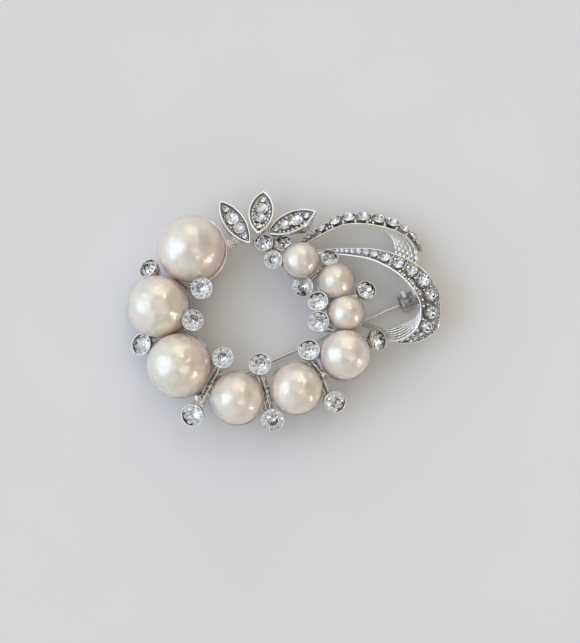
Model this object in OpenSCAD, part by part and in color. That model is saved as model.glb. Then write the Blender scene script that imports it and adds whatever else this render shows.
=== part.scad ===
// Wreath brooch: nine pearls in dish cups, nineteen crystals in tube cups,
// three pointed leaves and two ribbon loops, with a pin stem and a roll-over catch behind.
// It lies on its back: +Z faces the viewer, the table is z = 0, sizes are in millimetres.

/* [Pearls] */
// Wall of the dish cup under each pearl
cup_wall = 0.5; // [0.4:0.05:0.6]
// Space between a pearl and its cup
pearl_gap = 0.06; // [0.04:0.01:0.1]
// How far a cup reaches up, as a share of the pearl radius left bare above it
cup_bare = 0.36; // [0.3:0.02:0.5]
// Radius of the peg that a pearl is glued on
peg_r = 0.45; // [0.35:0.05:0.6]
// Radius of the foot under the three large cups
foot_r = 1.7; // [1.2:0.1:2]

/* [Crystals] */
// Wall of the tube cup round each crystal
bezel_wall = 0.25; // [0.2:0.05:0.35]
// Height of a tube cup below the girdle of its crystal
bezel_depth = 2.6; // [2.2:0.1:3]
// Space between a crystal and its cup
stone_gap = 0.06; // [0.04:0.01:0.1]
// Radius of the stalk under each tube cup
stalk_r = 0.6; // [0.5:0.05:0.8]
// Radius of the branch from a stalk to the wreath
branch_r = 0.55; // [0.45:0.05:0.7]

/* [Leaves] */
// Length of a leaf from tip to tip
leaf_len = 10.4; // [9.5:0.1:11]
// Width of a leaf
leaf_w = 4.9; // [4.4:0.1:5.4]
// Depth of a leaf at its middle
leaf_depth = 2.3; // [1.9:0.1:2.8]
// Width of the rim round a leaf
leaf_rim = 0.4; // [0.3:0.05:0.5]
// Depth of the floor below the rim
leaf_floor = 0.6; // [0.4:0.05:0.8]

/* [Ribbons] */
// Thickness of the jewelled side of a ribbon
pave_wall = 1.15; // [1:0.05:1.4]
// Thickness of the ribbed side of a ribbon
rib_wall = 0.8; // [0.6:0.05:1]
// Width of the bright ridge between the two sides
ridge_w = 0.5; // [0.4:0.05:0.6]
// Width of the thin rim along the far edge
edge_w = 0.28; // [0.2:0.02:0.4]
// Depth of the channel that holds the crystals
channel = 0.55; // [0.4:0.05:0.7]
// Sections worked out between two rows of a ribbon's table
ribbon_steps = 3; // [2:1:4]

/* [Pin] */
// Radius of the pin wire
wire_r = 0.35; // [0.3:0.05:0.45]
// Height of the pin wire above the table
pin_z = 1.6; // [1.6:0.1:1.8]
// Radius of the hinge rivet
rivet_r = 0.36; // [0.3:0.02:0.4]
// Running space round the rivet and round the lock
run_gap = 0.06; // [0.04:0.01:0.08]
// Angle that the pin has swung open
pin_open = 0; // [0:1:80]
// Angle that the lock has turned
lock_turn = 0; // [0:1:90]

/* [Hidden] */
$fn = 48;
eps = 0.01;

// Columns of PEARLS: x, y and z of the centre, radius, lean from upright, direction of the lean.
PX = 0;
PY = 1;
PZ = 2;
P_RADIUS = 3;
P_LEAN = 4;
P_TOWARDS = 5;
PEARLS = [
    [-17.5, 11.45, 7.0, 6.40, 10, 175],
    [-23.75, 0.5, 6.7, 5.90, 6, 180],
    [-19.7, -10.75, 7.7, 6.03, 6, 215],
    [-8.7, -16.95, 7.8, 4.90, 4, 260],
    [2.45, -15.1, 8.2, 4.83, 4, 290],
    [11.55, -8.85, 9.35, 4.65, 8, 25],
    [11.85, -0.9, 7.9, 3.3, 0, 0],
    [9.95, 5.3, 6.3, 3.34, 0, 0],
    [3.2, 9.25, 7.2, 3.40, 0, 0]
];
// Pearls whose cups stand on a foot.
FOOTED = [0, 1, 2];
// Height below a pearl's middle, in degrees, at which the bars of the wreath leave its cup.
BAR_ANGLE = [40, 42, 45, 48, 50, 52, 60, 60, 58];
bar_r = 0.75;

// Columns of STONES: x, y and z of the girdle's centre, outer radius of the cup, tilt, its direction, gap.
S_RADIUS = 3;
S_TILT = 4;
S_TOWARDS = 5;
S_GAP = 6;
STONES = [
    [-25.7, 7.9, 6.0, 1.95, 40, 145, 0],
    [-15.3, 3.6, 9.7, 2.06, 6, 190, 0],
    [-17.0, -2.4, 9.2, 2.05, 10, 30, 1],
    [-26.9, -6.6, 5.4, 2.12, 28, 170, 1],
    [-11.35, -9.4, 8.5, 2.02, 4, 90, 2],
    [-17.1, -20.05, 6.5, 2.16, 18, 225, 2],
    [-4.35, -10.6, 8.6, 2.12, 10, 90, 3],
    [-2.05, -20.95, 6.5, 2.18, 10, 290, 3],
    [4.8, -7.95, 9.0, 2.05, 14, 95, 4],
    [9.65, -17.55, 6.8, 2.12, 18, 320, 4],
    [17.85, -5.8, 6.6, 2.06, 42, 12, 5],
    [6.6, -2.65, 9.3, 2.02, 8, 60, 5],
    [6.5, 1.3, 8.2, 1.95, 16, 110, 6],
    [15.75, 3.65, 6.5, 1.9, 25, 45, 6],
    [3.7, 4.45, 5.4, 2.0, 14, 250, 7],
    [8.75, 10.05, 4.6, 1.76, 22, 60, 7],
    [-1.95, 9.3, 7.4, 1.77, 8, 240, 8],
    [-3.75, 12.6, 7.0, 1.8, 20, 95, 8],
    [0.0, 12.65, 5.8, 1.72, 36, 95, 8]
];
table_share = 0.56;
crown_share = 0.30;
pavilion_share = 0.76;
girdle_h = 0.12;
bezel_lip = 0.22;
// Knot of bars under the small crystals beside the leaves.
KNOT = [-2.6, 11.7, 3.9];

// Columns of LEAVES: x, y and z of the middle of the rim, direction of the long axis, pitch up, roll,
// width as a share of leaf_w.
LEAVES = [
    [-9.2, 16.55, 7.4, 125.1, 0, 13, 0.87],
    [-4.25, 18.5, 7.6, 83.1, -27, 0, 1],
    [1.55, 16.4, 7.6, 25.7, 0, -42, 1]
];
// Columns of LEAF_STONES: place along the leaf from its middle towards the outer tip, radius.
LEAF_STONES = [[3.05, 0.62], [0.95, 1.15], [-1.35, 1.0], [-3.2, 0.52]];
// Where a bar from the knot enters each leaf, along its axis.
LEAF_ROOTS = [-3.2, -3.4, -3.2];
leaf_tip_trim = 0.25;
// How much narrower a leaf is on each side at its bottom than at its rim.
leaf_taper = 0.25;

// Columns of a ribbon's table: ridge x, y, z, far edge of the jewelled side x, y, z,
// far edge of the ribbed side x, y, z. Each row is one section.
FRONT_RIBBON = [
    [4.3, 9.9, 4.6, 4.2, 10.4, 4.55, 4.4, 10.0, 3.9],
    [7.5, 11.0, 3.7, 7.3, 11.9, 3.6, 7.6, 11.1, 2.5],
    [10.3, 10.7, 4.2, 10.2, 12.0, 4.0, 10.3, 10.9, 2.8],
    [12.9, 10.3, 5.0, 13.0, 12.0, 4.7, 12.9, 10.5, 3.2],
    [16.6, 9.4, 6.2, 17.2, 11.7, 5.7, 16.7, 9.7, 3.8],
    [20.5, 7.35, 7.3, 22.3, 10.2, 6.5, 20.8, 7.7, 4.2],
    [23.55, 4.6, 7.9, 26.85, 7.3, 6.9, 23.9, 4.9, 4.6],
    [25.5, 1.5, 8.05, 29.55, 3.0, 7.0, 25.8, 1.6, 4.7],
    [25.75, -1.4, 7.8, 29.7, -2.1, 6.7, 25.1, -1.1, 4.6],
    [25.2, -3.3, 7.5, 28.6, -4.5, 6.0, 23.7, -2.0, 4.6],
    [24.3, -4.6, 7.2, 26.2, -6.0, 4.9, 22.3, -2.6, 4.7],
    [22.9, -5.65, 6.8, 23.6, -6.45, 4.1, 21.1, -3.2, 4.8],
    [21.0, -6.15, 6.2, 21.0, -6.1, 3.7, 19.6, -3.5, 4.7],
    [18.9, -5.45, 5.6, 19.1, -5.2, 3.5, 18.0, -3.1, 4.5],
    [15.9, -3.8, 4.9, 16.1, -3.5, 3.4, 15.3, -2.1, 4.1],
    [12.3, -2.2, 4.7, 12.4, -2.0, 3.7, 12.1, -1.0, 4.3]
];
BACK_RIBBON = [
    [1.9, 10.2, 4.9, 1.55, 10.8, 4.8, 2.1, 10.3, 3.8],
    [3.0, 11.6, 4.5, 2.4, 12.5, 4.2, 3.2, 11.7, 3.4],
    [4.8, 12.95, 4.8, 4.1, 14.0, 4.3, 5.0, 13.0, 3.5],
    [7.0, 14.25, 5.3, 6.2, 15.8, 4.2, 7.2, 14.35, 3.5],
    [10.9, 15.95, 6.2, 10.5, 18.2, 4.2, 11.0, 16.3, 3.2],
    [13.8, 16.3, 6.5, 13.9, 18.8, 4.3, 13.8, 16.8, 3.1],
    [16.7, 16.1, 6.6, 17.3, 18.5, 4.3, 16.6, 16.5, 3.1],
    [19.4, 15.6, 6.4, 20.4, 17.8, 4.1, 19.0, 15.5, 3.3],
    [21.5, 14.95, 6.2, 22.8, 16.5, 3.5, 20.1, 14.6, 3.4],
    [23.3, 14.1, 5.8, 24.6, 15.1, 3.2, 20.8, 13.3, 3.5],
    [24.6, 12.95, 5.4, 25.7, 13.5, 2.8, 21.0, 12.1, 3.6],
    [25.5, 11.5, 5.0, 26.2, 11.8, 2.5, 21.1, 11.0, 3.7],
    [25.7, 9.8, 4.8, 26.1, 9.9, 2.3, 21.3, 9.6, 3.8],
    [25.2, 8.2, 4.9, 25.4, 8.1, 2.6, 21.5, 8.2, 4.2],
    [24.1, 6.7, 5.3, 24.2, 6.5, 3.3, 21.6, 6.9, 4.9]
];
// Columns of the crystal rows: place along the table in rows, place across the jewelled side, radius.
FRONT_STONES = [
    [2.05, 0.56, 0.33], [2.4, 0.56, 0.37], [2.75, 0.56, 0.4], [3.08, 0.56, 0.43], [3.4, 0.56, 0.47],
    [3.72, 0.56, 0.53], [4.07, 0.56, 0.64], [4.5, 0.57, 0.9], [5.07, 0.57, 1.1], [5.66, 0.58, 1.2],
    [6.3, 0.59, 1.2], [6.95, 0.57, 1.2], [7.72, 0.5, 1.25], [8.75, 0.44, 1.2], [9.6, 0.5, 0.55],
    [10.15, 0.48, 0.5], [10.65, 0.5, 0.42]
];
BACK_STONES = [
    [1.92, 0.56, 0.32], [2.33, 0.56, 0.36], [2.74, 0.56, 0.42], [3.24, 0.55, 0.68], [3.83, 0.54, 0.92],
    [4.55, 0.54, 1.05], [5.42, 0.54, 1.08], [6.35, 0.54, 1.08], [7.3, 0.54, 1.05], [8.35, 0.54, 0.95],
    [9.4, 0.54, 0.75], [10.2, 0.53, 0.65], [10.95, 0.53, 0.55]
];
leaf_stone_root = 0.4;
stone_seat = 0.13;
proud = 0.2;

// The pin's hinge and the direction in plan in which the wire runs to the catch.
HINGE = [-13.3, -14.35];
pin_dir = 23.7;
catch_reach = 40.4;
tip_len = 3.2;
tip_r = 0.1;
eye_r = 0.85;
eye_w = 1.1;
ear_w = 0.6;
ear_r = 1.6;
ear_side_gap = 0.1;
barrel_r = 1.7;
barrel_len = 2.6;
lock_r = 1.0;
lock_bore = 0.56;
slot_w = 0.95;
tab_w = 0.7;
tab_reach = 2.3;

// Shift in plan that centres the whole brooch on the origin.
PLAN = [-0.1, 0.117, 0];

METAL = [0.72, 0.71, 0.68];
CREAM = [0.93, 0.88, 0.80];
CRYSTAL = [0.88, 0.91, 0.93];

function stone_name(i) = str("stone_", i < 10 ? "0" : "", i);
function place(row) = [row[PX], row[PY], row[PZ]];
function unit(v) = v / norm(v);
// Direction of an axis that leans by an angle towards a compass angle in plan.
function leaning(lean, towards) = [sin(lean) * cos(towards), sin(lean) * sin(towards), cos(lean)];
// Smooth curve through four values, at t from the second to the third.
function smooth(a, b, c, d, t) =
    0.5 * (2 * b + (c - a) * t + (2 * a - 5 * b + 4 * c - d) * t * t + (3 * b - a - 3 * c + d) * t * t * t);
function row_at(rows, s) =
    let (
        last = len(rows) - 1,
        i = min(floor(s), last - 1),
        before = i > 0 ? rows[i - 1] : 2 * rows[0] - rows[1],
        after = i + 2 <= last ? rows[i + 2] : 2 * rows[last] - rows[last - 1]
    )
    smooth(before, rows[i], rows[i + 1], after, s - i);
function ridge_of(row) = [row[0], row[1], row[2]];
function far_edge_of(row) = [row[3], row[4], row[5]];
function rib_edge_of(row) = [row[6], row[7], row[8]];

// Places an object whose own z axis is an axis that leans.
module leant(at, lean, towards) {
    translate(at)
        rotate([0, 0, towards])
            rotate([0, lean, 0])
                children();
}

// A round bar between two points.
module bar(a, b, r) {
    v = b - a;
    translate(a)
        rotate([0, acos(v[2] / norm(v)), atan2(v[1], v[0])])
            cylinder(h = norm(v), r = r);
}

// Solid dish that a pearl's hollow is cut from, its flat top a little below the pearl's middle.
module cup_blank(p) {
    r = p[P_RADIUS] + pearl_gap + cup_wall;
    leant(place(p), p[P_LEAN], p[P_TOWARDS])
        intersection() {
            sphere(r);
            translate([0, 0, -r - cup_bare * p[P_RADIUS]])
                cylinder(h = r, r = r + 1);
        }
}

// Foot that a large cup stands on, flat on the table.
module foot(p) {
    bottom = place(p) - p[P_RADIUS] * leaning(p[P_LEAN], p[P_TOWARDS]);
    translate([bottom[0], bottom[1], 0])
        cylinder(h = bottom[2] + 0.4, r = foot_r);
}

module pearl_hollow(p) {
    translate(place(p))
        sphere(p[P_RADIUS] + pearl_gap);
}

// Peg from the middle of a cup into the drilled pearl.
module peg(p) {
    leant(place(p), p[P_LEAN], p[P_TOWARDS])
        translate([0, 0, -p[P_RADIUS] - 0.3])
            cylinder(h = 0.3 + 0.55 * p[P_RADIUS], r = peg_r);
}

// Where the wreath's bar from one pearl to another leaves the first one's cup.
function bar_end(i, j) =
    let (
        p = PEARLS[i],
        d = unit([PEARLS[j][PX] - p[PX], PEARLS[j][PY] - p[PY], 0]),
        r = p[P_RADIUS] + pearl_gap + cup_wall / 2
    )
    place(p) + r * (cos(BAR_ANGLE[i]) * d - [0, 0, sin(BAR_ANGLE[i])]);
function gap_middle(g) = (bar_end(g, g + 1) + bar_end(g + 1, g)) / 2;
function branch_root(s) = s[S_GAP] < 8 ? gap_middle(s[S_GAP]) : KNOT;
function stalk_foot(s) =
    let (axis = leaning(s[S_TILT], s[S_TOWARDS]), root = branch_root(s))
    place(s) - (s[PZ] - min(root[2], s[PZ] - 2.2)) / axis[2] * axis;

// Outside of one tube cup turned in one piece with its stalk, and its branch to the wreath.
module tube_cup(s, branch) {
    r = s[S_RADIUS];
    straight = 0.9;
    low = stalk_foot(s);
    drop = norm(place(s) - low);
    root = branch_root(s);
    leant(place(s), s[S_TILT], s[S_TOWARDS])
        rotate_extrude()
            polygon([
                [0, -drop], [stalk_r, -drop], [stalk_r, -bezel_depth], [0.55 * r, -bezel_depth],
                [r, -straight], [r, bezel_lip], [0, bezel_lip]
            ]);
    translate(low)
        sphere(stalk_r + 0.12);
    bar(low, root + 0.3 * unit(low - root), branch);
}

// Hollow of a tube cup: straight above the girdle, tapered below it.
module stone_hollow(s) {
    r = s[S_RADIUS] - bezel_wall;
    leant(place(s), s[S_TILT], s[S_TOWARDS]) {
        translate([0, 0, -girdle_h])
            cylinder(h = 3, r = r);
        translate([0, 0, -girdle_h - pavilion_share * r - 0.1])
            cylinder(h = pavilion_share * r + 0.1 + eps, r1 = 0.15, r2 = r);
    }
}

// Cut crystal: octagonal table, a crown of 24 facets, a thin girdle of 16 sides and a pointed back.
module brilliant(r) {
    table = [for (i = [0:7]) [table_share * r * cos(45 * i), table_share * r * sin(45 * i), crown_share * r]];
    upper = [for (j = [0:15]) [r * cos(22.5 * j), r * sin(22.5 * j), 0]];
    lower = [for (j = [0:15]) [r * cos(22.5 * j), r * sin(22.5 * j), -girdle_h]];
    point = [[0, 0, -girdle_h - pavilion_share * r]];
    faces = concat(
        [[for (i = [7:-1:0]) i]],
        [for (i = [0:7]) [i, 8 + 2 * i, 8 + (2 * i + 15) % 16]],
        [for (i = [0:7]) [i, 8 + 2 * i + 1, 8 + 2 * i]],
        [for (i = [0:7]) [i, (i + 1) % 8, 8 + 2 * i + 1]],
        [for (j = [0:15]) [8 + j, 8 + (j + 1) % 16, 24 + (j + 1) % 16]],
        [for (j = [0:15]) [8 + j, 24 + (j + 1) % 16, 24 + j]],
        [for (j = [0:15]) [24 + j, 24 + (j + 1) % 16, 40]]
    );
    polyhedron(points = concat(table, upper, lower, point), faces = faces);
}

// Flat-backed crystal with an octagonal table and eight crown facets: z = 0 is its girdle.
module chaton(r, root, crown) {
    sides = 8;
    turn = 360 / sides;
    table = [for (i = [0:sides - 1]) [0.58 * r * cos(turn * i), 0.58 * r * sin(turn * i), crown]];
    upper = [for (i = [0:sides - 1]) [r * cos(turn * i), r * sin(turn * i), 0]];
    lower = [for (i = [0:sides - 1]) [0.6 * r * cos(turn * i), 0.6 * r * sin(turn * i), -root]];
    faces = concat(
        [[for (i = [sides - 1:-1:0]) i]],
        [for (i = [0:sides - 1]) [i, (i + 1) % sides, sides + (i + 1) % sides, sides + i]],
        [for (i = [0:sides - 1]) [sides + i, sides + (i + 1) % sides, 2 * sides + (i + 1) % sides, 2 * sides + i]],
        [[for (i = [0:sides - 1]) 2 * sides + i]]
    );
    polyhedron(points = concat(table, upper, lower), faces = faces);
}

// Pointed oval block between two arcs, from z = -h to z = 0, narrower at its bottom by a taper.
module pointed_oval(length, width, h, taper = 0) {
    r = (length * length + width * width) / (4 * width);
    intersection() {
        translate([0, r - width / 2, -h])
            cylinder(h = h, r1 = r - taper, r2 = r, $fn = 96);
        translate([0, width / 2 - r, -h])
            cylinder(h = h, r1 = r - taper, r2 = r, $fn = 96);
        translate([0, 0, -h])
            cylinder(h = h, r = length / 2 - leaf_tip_trim, $fn = 96);
    }
}

module on_leaf(l) {
    translate([l[0], l[1], l[2]])
        rotate([0, 0, l[3]])
            rotate([0, -l[4], 0])
                rotate([l[5], 0, 0])
                    children();
}

// Point on the long axis of a leaf, a given depth below its rim.
function leaf_point(l, along, depth) =
    let (
        pitched = [along * cos(l[4]), depth * sin(l[5]), along * sin(l[4])],
        sunk = [sin(l[4]) * depth * cos(l[5]), 0, -cos(l[4]) * depth * cos(l[5])],
        p = pitched + sunk
    )
    [l[0] + cos(l[3]) * p[0] - sin(l[3]) * p[1], l[1] + sin(l[3]) * p[0] + cos(l[3]) * p[1], l[2] + p[2]];

// Boat-shaped leaf with a raised rim round a sunk floor.
module leaf(l) {
    end_depth = 0.9;
    rise = leaf_depth - end_depth;
    keel_r = (leaf_len * leaf_len / 4 + rise * rise) / (2 * rise);
    width = leaf_w * l[6];
    on_leaf(l)
        difference() {
            intersection() {
                pointed_oval(leaf_len, width, leaf_depth, leaf_taper);
                translate([0, 0, keel_r - leaf_depth])
                    sphere(keel_r, $fn = 96);
            }
            translate([0, 0, eps])
                pointed_oval(leaf_len - 2.6 * leaf_rim, width - 2 * leaf_rim, leaf_floor + eps);
        }
}

module leaf_crystals(l) {
    color(CRYSTAL)
        on_leaf(l)
            for (s = LEAF_STONES)
                translate([s[0], 0, stone_seat + leaf_stone_root - leaf_floor])
                    chaton(s[1], leaf_stone_root, 0.12 + 0.22 * s[1]);
}

// Points of one ribbon section: ridge, channel, far rim, back, then the edge of the ribbed side.
function ribbon_section(row) =
    let (
        ridge = ridge_of(row),
        across = far_edge_of(row) - ridge,
        down = rib_edge_of(row) - ridge,
        w = norm(across),
        h = norm(down),
        ridge_here = min(ridge_w, 0.28 * w),
        edge_here = min(edge_w, 0.15 * w),
        channel_here = min(channel, 0.3 * w),
        back = min(rib_wall, 0.6 * w),
        wall = min(pave_wall, 0.6 * h),
        outline = [
            [0, 0], [ridge_here, 0], [ridge_here, channel_here], [w - edge_here, channel_here],
            [w - edge_here, 0], [w, 0], [w, wall], [back, wall], [back, h], [0, h]
        ]
    )
    [for (p = outline) ridge + p[0] * across / w + p[1] * down / h];

// Triangles that close the end of a ribbon, as places in its section.
RIBBON_CAP = [[0, 1, 2], [4, 5, 6], [4, 6, 3], [3, 6, 7], [2, 3, 7], [0, 2, 7], [0, 7, 8], [0, 8, 9]];

// Ribbon swept through its sections.
module ribbon(rows) {
    count = (len(rows) - 1) * ribbon_steps;
    rings = [for (k = [0:count]) ribbon_section(row_at(rows, k / ribbon_steps))];
    n = len(rings[0]);
    points = [for (ring = rings) each ring];
    sides = [
        for (k = [0:count - 1], i = [0:n - 1])
            let (i2 = (i + 1) % n, here = k * n, next = here + n)
            each [[here + i, next + i2, next + i], [here + i, here + i2, next + i2]]
    ];
    start = [for (t = RIBBON_CAP) [t[2], t[1], t[0]]];
    end = [for (t = RIBBON_CAP) [for (i = t) count * n + i]];
    polyhedron(points = points, faces = concat(start, sides, end), convexity = 10);
}

// Crystals laid along the channel of a ribbon.
module ribbon_crystals(rows, stones) {
    for (s = stones) {
        row = row_at(rows, s[0]);
        ridge = ridge_of(row);
        across = unit(far_edge_of(row) - ridge);
        down = unit(rib_edge_of(row) - ridge);
        w = norm(far_edge_of(row) - ridge);
        along = unit(ridge_of(row_at(rows, s[0] + 0.05)) - ridge_of(row_at(rows, s[0] - 0.05)));
        face = unit(cross(along, across));
        out = face * down > 0 ? -face : face;
        side = cross(across, out);
        depth = min(channel, 0.3 * w);
        sunk = -depth * (down * out);
        at = ridge + s[1] * w * across + proud * out;
        color(CRYSTAL)
            multmatrix([
                [side[0], across[0], out[0], at[0]],
                [side[1], across[1], out[1], at[1]],
                [side[2], across[2], out[2], at[2]],
                [0, 0, 0, 1]
            ])
                chaton(s[2], sunk + proud - stone_seat, 0.1 + 0.28 * s[2]);
    }
}

// Places an object in the pin's own frame: x along the wire, z up, origin at the hinge rivet.
module in_pin_frame() {
    translate([HINGE[0], HINGE[1], pin_z])
        rotate([0, 0, pin_dir])
            children();
}

module hinge_bracket() {
    inner = eye_w / 2 + ear_side_gap;
    top = 1.35;
    in_pin_frame() {
        for (side = [-1, 1])
            translate([0, side * (inner + ear_w / 2), 0]) {
                rotate([90, 0, 0])
                    cylinder(h = ear_w, r = ear_r, center = true);
                translate([-ear_r, -ear_w / 2, 0])
                    cube([2 * ear_r, ear_w, top + 0.3]);
            }
        translate([-ear_r, -inner - ear_w, top])
            cube([2 * ear_r, 2 * (inner + ear_w), 0.7]);
        rotate([90, 0, 0])
            cylinder(h = 2 * inner + ear_w, r = rivet_r, center = true);
    }
}

module catch_barrel() {
    in_pin_frame()
        translate([catch_reach, 0, 0]) {
            difference() {
                rotate([0, 90, 0])
                    cylinder(h = barrel_len, r = barrel_r, center = true);
                translate([-eps, 0, 0])
                    rotate([0, 90, 0])
                        cylinder(h = barrel_len + 1, r = lock_r + run_gap, center = true);
                translate([-barrel_len, -slot_w / 2 - 0.1, -barrel_r - 1])
                    cube([2 * barrel_len, slot_w + 0.2, barrel_r + 1]);
                lock_window();
            }
            translate([barrel_len / 2 - eps, -barrel_r, -0.4])
                cube([0.7, 2 * barrel_r, 3.2]);
        }
}

// Window in the barrel that the lock's tab moves in, from sideways to upright.
module lock_window() {
    rotate([0, -90, 0])
        rotate([0, 0, -18])
            translate([0, 0, -tab_w / 2 - 0.12])
                rotate_extrude(angle = 126)
                    translate([0.8, 0])
                        square([barrel_r, tab_w + 0.24]);
}

// Post from the catch up to the ribbed side of the front ribbon.
module catch_post() {
    bar([24.75, 2.35, 3.6], [25.9, 1.9, 5.3], 0.75);
}

module setting_metal() {
    for (p = PEARLS)
        cup_blank(p);
    for (i = FOOTED)
        foot(PEARLS[i]);
    for (g = [0:len(PEARLS) - 2])
        bar(bar_end(g, g + 1), bar_end(g + 1, g), bar_r);
    for (i = [0:len(STONES) - 1])
        tube_cup(STONES[i], branch_r + 0.03 * (i % 3));
    knot_bars();
    for (l = LEAVES)
        leaf(l);
    ribbon(FRONT_RIBBON);
    ribbon(BACK_RIBBON);
}

// Bars that meet in the knot: from the first and the last pearl cup and to each leaf.
module knot_bars() {
    first = PEARLS[0];
    last = PEARLS[len(PEARLS) - 1];
    bar(leaf_point(LEAVES[0], -2.7, 1.35), place(first) + (first[P_RADIUS] + 0.3) * [cos(22), 0.08, -sin(22)], 0.9);
    bar(KNOT, place(last) + (last[P_RADIUS] + 0.3) * [-cos(60) * 0.9, cos(60) * 0.4, -sin(60)], bar_r);
    for (i = [0:len(LEAVES) - 1])
        bar(KNOT, leaf_point(LEAVES[i], LEAF_ROOTS[i], 1.4), branch_r);
    translate(KNOT)
        sphere(1);
}

module setting() {
    color(METAL) {
        difference() {
            setting_metal();
            for (p = PEARLS)
                pearl_hollow(p);
            for (s = STONES)
                stone_hollow(s);
        }
        for (p = PEARLS)
            peg(p);
        hinge_bracket();
        catch_barrel();
        catch_post();
    }
}

module pearl(p) {
    color(CREAM)
        leant(place(p), p[P_LEAN], p[P_TOWARDS])
            difference() {
                sphere(p[P_RADIUS]);
                translate([0, 0, -p[P_RADIUS] - 1])
                    cylinder(h = 1 + 0.6 * p[P_RADIUS], r = peg_r + 0.05);
            }
}

module stone(s) {
    color(CRYSTAL)
        leant(place(s), s[S_TILT], s[S_TOWARDS])
            brilliant(s[S_RADIUS] - bezel_wall - stone_gap);
}

module pin_stem() {
    color(METAL)
        in_pin_frame()
            rotate([0, pin_open, 0]) {
                difference() {
                    rotate([90, 0, 0])
                        cylinder(h = eye_w, r = eye_r, center = true);
                    rotate([90, 0, 0])
                        cylinder(h = eye_w + 1, r = rivet_r + run_gap, center = true);
                }
                wire_end = catch_reach + barrel_len / 2 - 0.3;
                translate([0.65, 0, 0])
                    rotate([0, 90, 0])
                        cylinder(h = wire_end - tip_len - 0.65, r = wire_r);
                translate([wire_end - tip_len, 0, 0])
                    rotate([0, 90, 0])
                        cylinder(h = tip_len, r1 = wire_r, r2 = tip_r);
            }
}

module catch_lock() {
    color(METAL)
        in_pin_frame()
            translate([catch_reach, 0, 0])
                rotate([lock_turn, 0, 0]) {
                    difference() {
                        rotate([0, 90, 0])
                            cylinder(h = barrel_len - 0.2, r = lock_r, center = true);
                        rotate([0, 90, 0])
                            cylinder(h = barrel_len + 1, r = lock_bore, center = true);
                        translate([-barrel_len, -slot_w / 2, -lock_r - 1])
                            cube([2 * barrel_len, slot_w, lock_r + 1]);
                    }
                    translate([-tab_w / 2, 0.8, -0.25])
                        cube([tab_w, tab_reach - 0.8, 0.5]);
                }
}

module placed() {
    translate(PLAN)
        children();
}

placed() setting();
for (i = [1:len(PEARLS)])
    placed() pearl(PEARLS[i - 1]);
for (i = [1:len(STONES)])
    placed() stone(STONES[i - 1]);
placed() leaf_crystals(LEAVES[0]);  // leaf_stones_left
placed() leaf_crystals(LEAVES[1]);  // leaf_stones_middle
placed() leaf_crystals(LEAVES[2]);  // leaf_stones_right
placed() ribbon_crystals(FRONT_RIBBON, FRONT_STONES);  // ribbon_front_stones
placed() ribbon_crystals(BACK_RIBBON, BACK_STONES);  // ribbon_back_stones
placed() pin_stem();
placed() catch_lock();
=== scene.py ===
"""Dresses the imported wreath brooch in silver-tone metal, pearl and cut crystal.

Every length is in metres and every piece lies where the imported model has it.
New pieces are surfaces worked out as whole arrays: a profile turned about an axis,
a section carried along a path, or a cut stone's corners and faces.
"""

import math

import bpy
import numpy as np
from bpy.props import FloatProperty, FloatVectorProperty, IntProperty, PointerProperty
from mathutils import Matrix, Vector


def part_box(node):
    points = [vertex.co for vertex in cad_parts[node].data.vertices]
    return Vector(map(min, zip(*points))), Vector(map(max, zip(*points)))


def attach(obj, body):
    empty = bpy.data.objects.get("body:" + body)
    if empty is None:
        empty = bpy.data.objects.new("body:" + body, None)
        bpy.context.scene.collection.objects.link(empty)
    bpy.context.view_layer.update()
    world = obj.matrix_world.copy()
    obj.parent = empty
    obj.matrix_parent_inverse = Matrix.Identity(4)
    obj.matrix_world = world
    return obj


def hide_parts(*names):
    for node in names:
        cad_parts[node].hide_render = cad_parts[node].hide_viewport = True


bl_info = {
    "name": "Wreath brooch dressing",
    "version": (1, 0, 0),
    "blender": (4, 5, 0),
    "location": "3D View > Sidebar > Brooch",
    "description": "Builds the metal, pearls and crystals of a wreath brooch round its solids",
    "category": "Object",
}

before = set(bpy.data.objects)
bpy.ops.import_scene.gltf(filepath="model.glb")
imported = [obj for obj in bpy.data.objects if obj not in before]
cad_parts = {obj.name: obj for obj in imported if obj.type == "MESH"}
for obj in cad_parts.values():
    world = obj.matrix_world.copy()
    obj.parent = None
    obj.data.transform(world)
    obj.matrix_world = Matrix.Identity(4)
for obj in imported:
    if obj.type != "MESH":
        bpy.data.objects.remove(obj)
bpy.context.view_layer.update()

MM = 0.001
UPRIGHT = [0.0, 0.0, 1.0]
# Distance between the grains of the cast bars, and how much their hollows darken.
CAST_GRAIN = 0.62 * MM
GRAIN_DARKENING = 0.26
# Shift in plan that centres the whole brooch on the origin.
PLAN = np.array([-0.1, 0.117, 0.0]) * MM

# Point that the camera looks at.
AIM = np.array([1.136, -2.08, 5.0]) * MM

PEARLS = 9
STONES = 19
# Columns: lean of each pearl's cup from upright, direction of the lean, in degrees.
CUP_LEANS = [
    [10, 175], [6, 180], [6, 215], [4, 260], [4, 290], [8, 25], [0, 0], [0, 0], [0, 0]
]
# Height below a pearl's middle, in degrees, at which the bars of the wreath leave its cup.
BAR_ANGLES = [40, 42, 45, 48, 50, 52, 60, 60, 58]
# Distance from a pearl to about the middle of its cup's wall.
WALL_MIDDLE = 0.3 * MM
# Pearls whose cups stand on a foot.
FOOTED = [1, 2, 3]
# Gap of the wreath that each stone's branch grows from; gap 8 is the knot by the leaves.
STONE_GAPS = [0, 0, 1, 1, 2, 2, 3, 3, 4, 4, 5, 5, 6, 6, 7, 7, 8, 8, 8]
KNOT = np.array([-2.6, 11.7, 3.9]) * MM + PLAN
# Gaps between two pearls, counted from 0, whose bars carry a larger nugget.
WIDE_GAPS = [2, 3, 4]
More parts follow.
